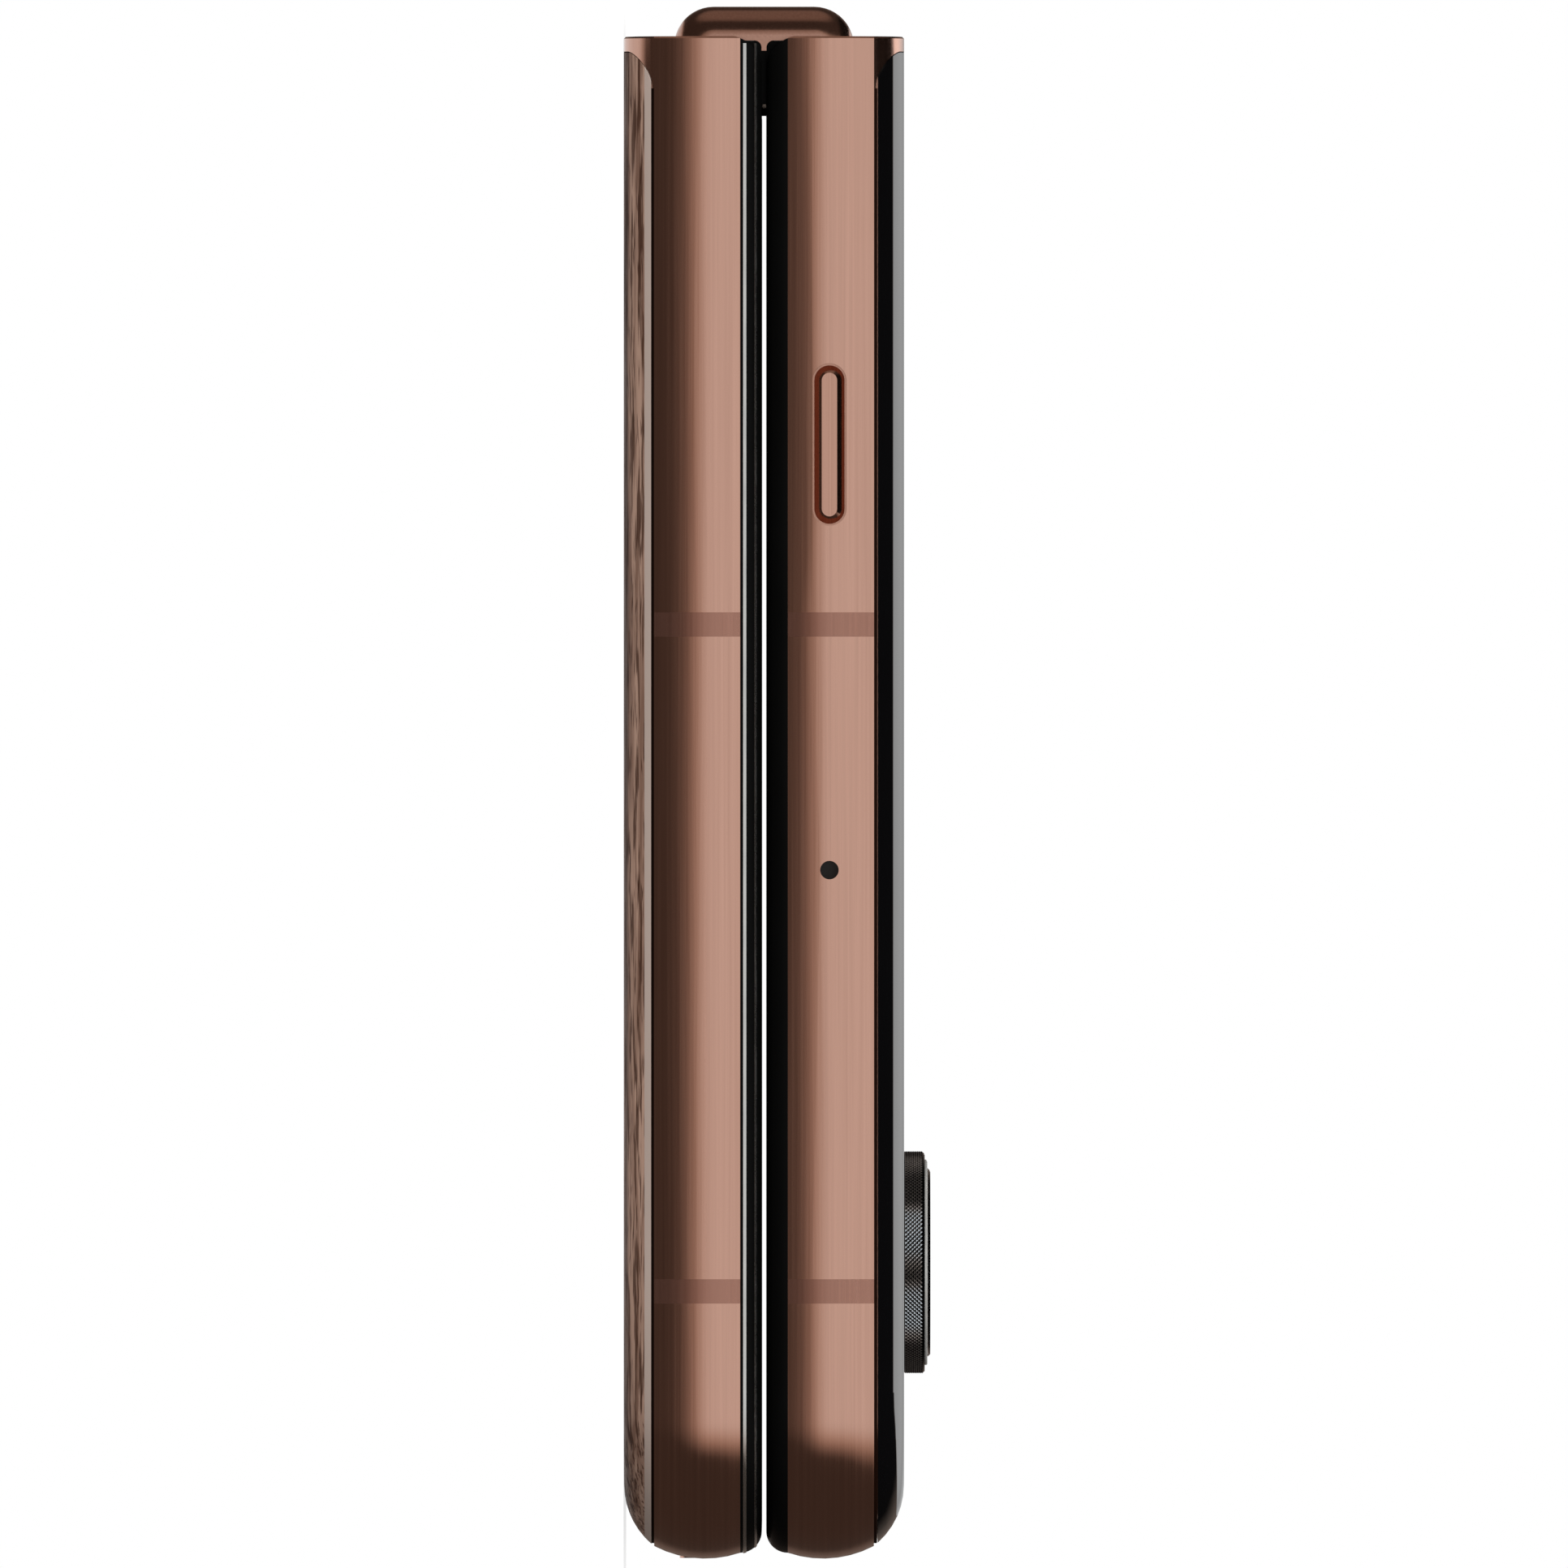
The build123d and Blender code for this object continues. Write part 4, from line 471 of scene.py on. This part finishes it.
def knurledRing(node, centre):
    look = ringLook
    columns = 2 * look["teeth"]
    low, high = look["base"] + look["chamfer"], look["top"] - look["chamfer"]
    outer, edge, border = look["radius"], look["edge"], look["border"]
    borderRadius = outer - look["borderIn"] * look["depth"]
    upper = [
        (look["bore"], look["root"]), (look["bore"], look["step"]), (look["stepRadius"] - edge, look["step"]),
        (look["stepRadius"], look["step"] - edge), (look["stepRadius"], look["top"]),
        (outer - look["chamfer"], look["top"]), (borderRadius, high + border),
    ]
    lower = [
        (borderRadius, low - border), (outer - look["chamfer"], look["base"]),
        (look["neck"], look["base"]), (look["neck"], look["root"]), (look["bore"], look["root"]),
    ]
    # in the knurl every other point is sunk, by turns from row to row, which makes the diamonds
    count = 2 * look["rows"]
    knurl = [(None, high + (low - high) * row / count) for row in range(count + 1)]
    rows = upper + knurl + lower
    first = len(upper)
    points, faces, finish = [], [], []
    for row, (radius, height) in enumerate(rows):
        for i in range(columns):
            reach = radius
            if radius is None:
                reach = outer - look["depth"] * ((i + row - first) % 2)
            angle = 2 * pi * i / columns
            points.append((centre[0] + reach * cos(angle), centre[1] + reach * sin(angle), height))
    for row in range(len(rows) - 1):
        inKnurl = first <= row < first + count
        for i in range(columns):
            a, b = row * columns + i, row * columns + (i + 1) % columns
            c, d = b + columns, a + columns
            if not inKnurl:
                faces.append((a, b, c, d))
                finish.append(1 if row in look["stepRows"] else 0)
                continue
            if (i + row - first) % 2:
                faces += [(a, b, c), (a, c, d)]
            else:
                faces += [(a, b, d), (b, c, d)]
            # painted highlight and shade: the first facet of each knurl quad gets the dark ring metal and the
            # second the light knurl metal, so the facets tilted towards the ring's top are light and the rest
            # dark, on top of what they mirror
            finish += [0, 2]
    ring = placeMesh(
        node + "_knurled", points, faces, [materials[metal] for metal in look["finishes"]],
        "cover_half", faceFinish=finish,
    )
    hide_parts(node)


lensLook = {  # in millimetres
    "rim": 5.3, "top": 16.72, "steps": 6, "first": 5.0, "stepIn": 0.4, "stepDown": 0.085, "stepHeight": 0.06,
    "stop": ((2.75, 16.2), (2.75, 16.12), (2.6, 16.12)), "baffleColumns": 96,
    "domeReach": 2.62, "domeRise": 0.34, "domeFoot": 15.98, "domeRows": 12, "columns": 72,
    "collar": ((1.62, 16.31), (1.62, 16.36), (1.5, 16.38), (1.42, 16.34), (1.42, 16.28)),
}


def inMillimetres(profile):
    return [(radius * mm, height * mm) for radius, height in profile]


def lensStack(name, centre):
    # stepped black baffle and a coated element below the flat window
    look = lensLook
    body, columns = "cover_half", look["columns"]
    steps = [(look["rim"], look["top"])]
    for i in range(look["steps"]):
        radius, height = look["first"] - look["stepIn"] * i, look["top"] - look["stepDown"] * i
        steps += [(radius, height), (radius, height - look["stepHeight"])]
    steps += look["stop"]
    turnPiece(
        name + "_baffle", inMillimetres(steps), centre, look["baffleColumns"], materials["modulePlastic"],
        body,
    )
    rise, reach, foot = look["domeRise"] * mm, look["domeReach"] * mm, look["domeFoot"] * mm
    ball = (reach * reach + rise * rise) / (2 * rise)
    dome = []
    for i in range(look["domeRows"] + 1):
        radius = reach * (1 - i / look["domeRows"])
        dome.append((radius, foot + rise - ball + sqrt(ball * ball - radius * radius)))
    turnPiece(name + "_element", dome, centre, columns, materials["lensCoating"], body)
    collar = inMillimetres(look["collar"])
    turnPiece(name + "_collar", collar, centre, columns, materials["screwSteel"], body)


cameraPlaces = {"main": (25.0 * mm, -27.5 * mm), "wide": (9.5 * mm, -27.5 * mm)}
for name, place in cameraPlaces.items():
    knurledRing("lens_ring_" + name, place)
    lensStack("lens_" + name, place)
print("camera rings made")


# light grey metal beads that run round the base half's soft rim, one bright low on the rim and one darker
# higher up: they mirror the studio, and their light colour is a painted highlight standing in for highlight
# lines on the black rubber

trimLook = {
    "halfWidth": 37.0 * mm, "freeEnd": -44.05 * mm, "corner": 9.5 * mm, "hinge": 41.95 * mm,
    "centreInset": 1.5564 * mm, "centreHeight": 6.6 * mm, "radius": 1.225 * mm,
    "proud": 0.04 * mm, "sunk": 0.06 * mm, "steps": 20, "beadSteps": 6,
    "bright": (5.5, 18.0), "dark": (40.0, 50.0),  # degrees round the rim's section
}


def rimStations(top):
    # points round one half seen from its face, each with its outward direction
    look = trimLook
    centreX, centreY = look["halfWidth"] - look["corner"], look["freeEnd"] + look["corner"]
    stations = [((-look["halfWidth"], top), (-1.0, 0.0))]
    for side, start in ((-1, pi), (1, 1.5 * pi)):
        for i in range(look["steps"] + 1):
            angle = start + 0.5 * pi * i / look["steps"]
            out = (cos(angle), sin(angle))
            point = (side * centreX + look["corner"] * out[0], centreY + look["corner"] * out[1])
            stations.append((point, out))
    stations.append(((look["halfWidth"], top), (1.0, 0.0)))
    return stations


def sweepRim(name, profile, top, finish, body):
    # carries a profile of (inset, height) pairs down one side, round the free end and up the other
    stations = rimStations(top)
    points, faces = [], []
    for (x, y), (outX, outY) in stations:
        points += [(x - outX * inset, y - outY * inset, height) for inset, height in profile]
    width = len(profile)
    for row in range(len(stations) - 1):
        for i in range(width):
            a, b = row * width + i, row * width + (i + 1) % width
            faces.append((a, a + width, b + width, b))
    faces += [tuple(range(width)), tuple(reversed(range(len(points) - width, len(points))))]
    placeMesh(name, points, faces, [finish], body, smooth=True)


def highlightBead(name, low, high):
    # a thin bead on the rounded rim, from one angle of its section to another
    look = trimLook
    last = look["beadSteps"]
    profile = []
    for i in range(last + 1):
        angle = radians(low + (high - low) * i / last)
        lift = -look["sunk"] if i in (0, last) else look["proud"]
        reach = look["radius"] + lift
        profile.append((look["centreInset"] - reach * cos(angle), look["centreHeight"] + reach * sin(angle)))
    sweepRim(name, profile, look["hinge"], materials["beadHighlightMetal"], "base_half")


highlightBead("base_highlight_bead_bright", *trimLook["bright"])
highlightBead("base_highlight_bead_dark", *trimLook["dark"])
print("trim lines made")


# dark gaskets in the seams between the frames and the two outer panels

seamLook = {
    "hinge": 39.4 * mm, "inset": 0.88 * mm, "back": 2.0 * mm, "low": 1.53 * mm, "high": 1.73 * mm,
    "edge": 0.03 * mm, "thick": 15.9 * mm,
}


def seamGasket(name, body, low, high):
    look = seamLook
    inset, edge = look["inset"], look["edge"]
    profile = [
        (look["back"], low), (inset + edge, low), (inset, low + edge),
        (inset, high - edge), (inset + edge, high), (look["back"], high),
    ]
    sweepRim(name, profile, look["hinge"], materials["seamRubber"], body)


seamLow, seamHigh, closedThick = seamLook["low"], seamLook["high"], seamLook["thick"]
seamGasket("base_seam_gasket", "base_half", seamLow, seamHigh)
seamGasket("cover_seam_gasket", "cover_half", closedThick - seamHigh, closedThick - seamLow)
print("seam gaskets made")


# port tongue with its contacts, and the small lens of the inner camera

portLook = {  # in millimetres
    "width": 6.76, "thick": 0.76, "tip": -43.02, "root": -37.35, "height": 4.1, "round": 0.2,
    "contacts": 12, "pitch": 0.5, "wide": 0.26, "from": -42.7, "to": -40.4, "proud": 0.03, "sunk": 0.05,
    "padRound": 0.02,
}
blockLook = {"segments": 3, "profile": 0.5, "creaseAngle": radians(40)}


def roundedBlock(name, low, high, edge, finish, body):
    # a block with its edges rolled over, from two corners in millimetres
    look = blockLook
    wide, deep, tall = zip(low, high)
    points = [(x * mm, y * mm, z * mm) for z in tall for y in deep for x in wide]
    faces = [(0, 2, 3, 1), (4, 5, 7, 6), (0, 1, 5, 4), (2, 6, 7, 3), (0, 4, 6, 2), (1, 3, 7, 5)]
    block = placeMesh(name, points, faces, [finish], None)
    mesh = bmesh.new()
    mesh.from_mesh(block.data)
    bmesh.ops.bevel(
        mesh, geom=mesh.edges[:], offset=edge * mm, segments=look["segments"], profile=look["profile"],
        affect="EDGES",
    )
    mesh.to_mesh(block.data)
    mesh.free()
    block.data.shade_smooth()
    block.data.set_sharp_from_angle(angle=look["creaseAngle"])
    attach(block, body)
    return block


def joinBlocks(name, blocks):
    # one piece from several small blocks that ride on the same body
    mesh = bmesh.new()
    for block in blocks:
        mesh.from_mesh(block.data)
    first = blocks[0]
    mesh.to_mesh(first.data)
    mesh.free()
    for block in blocks[1:]:
        bpy.data.objects.remove(block)
    first.name = name


def makePort():
    look = portLook
    half, thick, middle, halfPad = look["width"] / 2, look["thick"] / 2, look["height"], look["wide"] / 2
    roundedBlock(
        "usb_tongue", (-half, look["tip"], middle - thick), (half, look["root"], middle + thick),
        look["round"], materials["modulePlastic"], "base_half",
    )
    pads = []
    for side in (-1, 1):
        face = middle + side * thick
        for i in range(look["contacts"]):
            x = (i - (look["contacts"] - 1) / 2) * look["pitch"]
            low, high = sorted((face - side * look["sunk"], face + side * look["proud"]))
            pads.append(roundedBlock(
                f"pad_{side}_{i}", (x - halfPad, look["from"], low), (x + halfPad, look["to"], high),
                look["padRound"], materials["contactGold"], "base_half",
            ))
    joinBlocks("usb_contacts", pads)


def makeInnerCamera():
    # a small coated dome and its stop in the display's punched hole
    look = {
        "centre": (0.0, -38.3 * mm), "stop": ((1.58, 8.74), (1.5, 8.715), (1.0, 8.715), (0.92, 8.76)),
        "stopColumns": 64, "radius": 0.95, "foot": 8.75, "rise": 0.03, "rows": 6, "columns": 48,
    }
    turnPiece(
        "inner_camera_stop", inMillimetres(look["stop"]), look["centre"], look["stopColumns"],
        materials["modulePlastic"], "cover_half",
    )
    dome = []
    for row in range(look["rows"]):
        angle = 0.5 * pi * row / look["rows"]
        dome.append((look["radius"] * cos(angle), look["foot"] - look["rise"] * sin(angle)))
    dome.append((0, look["foot"] - look["rise"]))
    turnPiece(
        "inner_camera_lens", inMillimetres(dome), look["centre"], look["columns"], materials["lensCoating"],
        "cover_half",
    )


makePort()
makeInnerCamera()
print("port and inner camera made")


# the bending strip of the inner display, in two pieces that meet in the middle of the spine

foldLook = {  # in millimetres
    "axisY": 40.3, "axisZ": 5.8, "low": 35.1, "middle": 42.45, "front": 7.2, "back": 6.6, "halfWidth": 33.7,
    "midPlane": 7.95, "length": 3.67, "angle": radians(30), "rows": 30, "columns": 14, "halvings": 40,
}


def foldPoint(openY, openZ):
    look = foldLook
    v, u = openY - look["axisY"], openZ - look["axisZ"]
    wayY, wayZ = cos(look["angle"]), sin(look["angle"])
    low, high = 0.0, 1.0
    for _ in range(look["halvings"]):
        share = 0.5 * (low + high)
        turn = share * pi / 2
        y = look["axisY"] + cos(turn) * v - sin(turn) * u
        z = look["axisZ"] + sin(turn) * v + cos(turn) * u
        t = ((y - look["low"]) * wayY + (z - look["front"]) * wayZ) / look["length"]
        t = min(1.0, max(0.0, t))
        if t * t * (3 - 2 * t) >= share:
            low = share
        else:
            high = share
    return y, z


def foldStrip(name, mirrored):
    look = foldLook
    rows, columns = look["rows"], look["columns"]
    places = [look["low"] + (look["middle"] - look["low"]) * i / rows for i in range(rows + 1)]
    lines = [(y, look["front"]) for y in places] + [(y, look["back"]) for y in reversed(places)]
    points, faces = [], []
    for openY, openZ in lines:
        y, z = foldPoint(openY, openZ)
        if mirrored:
            z = 2 * look["midPlane"] - z
        for column in range(columns + 1):
            x = look["halfWidth"] * (2 * column / columns - 1)
            points.append((x * mm, y * mm, z * mm))
    width = columns + 1
    count = len(lines)
    for row in range(count):
        here, after = row * width, ((row + 1) % count) * width
        for column in range(columns):
            face = (here + column, here + column + 1, after + column + 1, after + column)
            faces.append(face[::-1] if mirrored else face)
    for column in (0, columns):
        for row in range(rows):
            here, other = row * width + column, (count - 1 - row) * width + column
            face = (here, here + width, other - width, other)
            faces.append(face if (column == 0) != mirrored else face[::-1])
    strip = placeMesh(name, points, faces, [materials["innerDisplay"]], None, smooth=True)
    if mirrored:
        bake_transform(strip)
    else:
        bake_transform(strip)
    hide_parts("display_fold")


foldStrip("display_fold_base", False)
foldStrip("display_fold_cover", True)
print("fold strips made")


# studio: floor, world, lamps and camera

def maximum(tree, first, *others):
    for other in others:
        first = mathNode(tree, "MAXIMUM", first, other)
    return first


def grey(tree, level):
    return addNode(tree, "ShaderNodeCombineXYZ", {0: level, 1: level, 2: level}).outputs[0]


def rayMask(tree, *kinds):
    # 1 for the named kinds of ray and 0 for the others
    path = addNode(tree, "ShaderNodeLightPath")
    return maximum(tree, *[path.outputs[kind] for kind in kinds])


mirroredRays = ("Is Glossy Ray", "Is Transmission Ray")
seenRays = ("Is Camera Ray", *mirroredRays)

floorLook = {
    "radius": 0.32, "sides": 96, "height": -0.02 * mm, "colour": (0.27, 0.27, 0.27, 1.0), "rough": 0.95,
    "lift": 0.73, "bounceFrom": -44.0 * mm, "bounceTo": -30.0 * mm, "bounceLow": 0.06, "bounceHigh": 0.4,
}


def makeFloor():
    # a sheet that looks white and throws light up at the phone, less of it past the free end
    look = floorLook
    material, tree, shader = newMaterial("floorPaper")
    shader.inputs["Base Color"].default_value = look["colour"]
    shader.inputs["Roughness"].default_value = look["rough"]
    shader.inputs["Specular IOR Level"].default_value = 0.0
    shader.inputs["Emission Color"].default_value = (1.0, 1.0, 1.0, 1.0)
    split = addNode(tree, "ShaderNodeSeparateXYZ", {0: addNode(tree, "ShaderNodeTexCoord").outputs["Object"]})
    bounce = rampValue(
        tree, split.outputs["Y"], look["bounceFrom"], look["bounceTo"], look["bounceLow"], look["bounceHigh"],
        smooth=True,
    )
    lift = mathNode(tree, "MULTIPLY", rayMask(tree, *seenRays), look["lift"])
    tree.links.new(maximum(tree, lift, bounce), shader.inputs["Emission Strength"])
    points = []
    for i in range(look["sides"]):
        angle = 2 * pi * i / look["sides"]
        points.append((look["radius"] * cos(angle), look["radius"] * sin(angle), look["height"]))
    paper = placeMesh("floorPaper", points, [list(range(look["sides"]))], [material], None)
    paper.visible_glossy = False


# Spans are shares of a unit direction, and lean is the upward share of a surface that mirrors
# the direction to a viewer at the phone's -X side. Levels are how bright the studio is there.
worldLook = {
    "ceiling": (sin(radians(62)), sin(radians(65))), "freeFade": (-0.78, -0.34), "hingeFade": (0.12, 0.42),
    "lowLean": (-0.4, 0.02), "lowDark": 0.066,
    "lowSteps": ((0.19, 0.068), (0.45, 0.12), (0.69, 0.33), (0.89, 0.76)),
    "windowLean": (0.852, 0.868), "windowBend": 0.24, "windowHeight": (0.3, 0.87),
    "windowLevel": (0.55, 1.85), "lipLean": (-0.8, -0.7), "lipAlong": (-0.25, -0.05),
    "glowAlong": (0.74, 0.96), "glowLevel": 0.25, "rimAcross": (0.7, 0.96), "rimLevel": 0.14,
    "aboveLean": (0.5, 0.62), "aboveLevel": (0.056, 0.006), "warm": (1.28, 1.0, 0.84, 1),
    "plainLevel": (0.35, 0.95), "fillAlong": (-0.9, 0.1), "fillLevel": (0.35, 0.75), "tiny": 0.0001,
}


def sideStudio(tree, across, along, upward):
    # level and colour of the studio that metal and glass mirror, by direction
    look = worldLook
    twice = mathNode(tree, "SUBTRACT", 2.0, mathNode(tree, "MULTIPLY", across, 2.0))
    spread = mathNode(tree, "SQRT", maximum(tree, twice, look["tiny"]))
    lean = mathNode(tree, "DIVIDE", upward, spread)

    # the viewer's side: bright up to the ceiling, darker below and towards both ends
    low = rampValue(tree, upward, *look["ceiling"], 1.0, 0.0, smooth=True)
    free = rampValue(tree, along, *look["freeFade"], smooth=True)
    hinge = rampValue(tree, along, *look["hingeFade"], 1.0, 0.0, smooth=True)
    near = mathNode(tree, "MULTIPLY", low, mathNode(tree, "MULTIPLY", free, hinge))
    below = addNode(tree, "ShaderNodeValToRGB", {"Fac": rampValue(tree, lean, *look["lowLean"])})
    for place, value in look["lowSteps"]:
        spot = below.color_ramp.elements.new(place)
        spot.color = (value, value, value, 1)
    below.color_ramp.elements[0].color = (look["lowDark"], look["lowDark"], look["lowDark"], 1)
    below.color_ramp.elements[-1].color = (1, 1, 1, 1)
    near = mathNode(tree, "MULTIPLY", near, below.outputs[0])

    # the far side: one high window and a low strip that lights the rounded lips
    bent = mathNode(tree, "MULTIPLY", mathNode(tree, "MINIMUM", along, 0.0), look["windowBend"])
    window = rampValue(tree, mathNode(tree, "ADD", lean, bent), *look["windowLean"], smooth=True)
    bright = rampValue(tree, upward, *look["windowHeight"], *look["windowLevel"])
    lipLean = rampValue(tree, lean, *look["lipLean"], 1.0, 0.0, smooth=True)
    lip = mathNode(tree, "MULTIPLY", lipLean, rampValue(tree, along, *look["lipAlong"], smooth=True))
    far = mathNode(tree, "GREATER_THAN", across, 0.0)
    beyond = maximum(tree, mathNode(tree, "MULTIPLY", window, bright), lip)
    sides = addNode(tree, "ShaderNodeMix", {0: far, 2: near, 3: beyond}, data_type="FLOAT").outputs[0]

    # weak light from beyond the hinge and from behind, and a dim base level that is lower above
    glow = rampValue(tree, along, *look["glowAlong"], 0.0, look["glowLevel"], smooth=True)
    above = rampValue(tree, lean, *look["aboveLean"], *look["aboveLevel"])
    rim = rampValue(tree, across, *look["rimAcross"], 0.0, look["rimLevel"], smooth=True)
    level = maximum(tree, sides, above, glow, rim)

    # warm where it is dim, neutral where it is bright and in the window
    strong = rampValue(tree, level, *look["plainLevel"])
    plain = maximum(tree, strong, mathNode(tree, "MULTIPLY", far, window))
    shade = grey(tree, level)
    return mixColour(tree, plain, mixColour(tree, 1.0, shade, look["warm"], "MULTIPLY"), shade)


def makeWorld():
    world = bpy.data.worlds.new("studioWorld")
    bpy.context.scene.world = world
    world.use_nodes = True
    tree = world.node_tree
    background = tree.nodes["Background"]
    direction = addNode(tree, "ShaderNodeTexCoord").outputs["Generated"]
    split = addNode(tree, "ShaderNodeSeparateXYZ", {0: direction})
    across, along, upward = [split.outputs[axis] for axis in ("X", "Y", "Z")]
    soft = rampValue(tree, along, *worldLook["fillAlong"], *worldLook["fillLevel"], smooth=True)
    fill = mixColour(tree, rayMask(tree, *seenRays), grey(tree, soft), (1, 1, 1, 1))
    colour = mixColour(tree, rayMask(tree, *mirroredRays), fill, sideStudio(tree, across, along, upward))
    tree.links.new(colour, background.inputs["Color"])
    background.inputs["Strength"].default_value = 1.0


lampLooks = {
    "keyLamp": {"place": (-1.1, 0.25, 0.8), "size": 0.8, "power": 17.0},
    "fillLamp": {"place": (0.9, 0.5, 0.9), "size": 0.9, "power": 9.0},
}
lampAim = (0.0, 0.0, 8 * mm)


def addLamp(name, look):
    lamp = bpy.data.lights.new(name, "AREA")
    lamp.shape = "SQUARE"
    lamp.size = look["size"]
    lamp.energy = look["power"]
    holder = bpy.data.objects.new(name, lamp)
    bpy.context.scene.collection.objects.link(holder)
    holder.location = look["place"]
    holder.rotation_mode = "QUATERNION"
    holder.rotation_quaternion = (Vector(look["place"]) - Vector(lampAim)).to_track_quat("Z", "Y")
    holder.visible_glossy = False
    holder.visible_transmission = False


def makeCamera():
    look = {
        "side": -37.0 * mm, "distance": 4.0, "centreY": -0.04 * mm, "centreZ": 9.085 * mm,
        "width": 88.87 * mm, "sensor": 36.0, "clip": (0.5, 30.0),
    }
    data = bpy.data.cameras.new("sideCamera")
    data.sensor_width = look["sensor"]
    data.lens = look["sensor"] * look["distance"] / look["width"]
    data.clip_start, data.clip_end = look["clip"]
    camera = bpy.data.objects.new("sideCamera", data)
    bpy.context.scene.collection.objects.link(camera)
    across, up, back = Vector((0, 0, 1)), Vector((0, 1, 0)), Vector((-1, 0, 0))
    turn = Matrix((across, up, back)).transposed()
    place = (look["side"] - look["distance"], look["centreY"], look["centreZ"])
    camera.matrix_world = Matrix.Translation(place) @ turn.to_4x4()
    bpy.context.scene.camera = camera


makeFloor()
makeWorld()
for name, look in lampLooks.items():
    addLamp(name, look)
makeCamera()
bpy.context.scene.view_settings.view_transform = "Standard"
print("studio made")
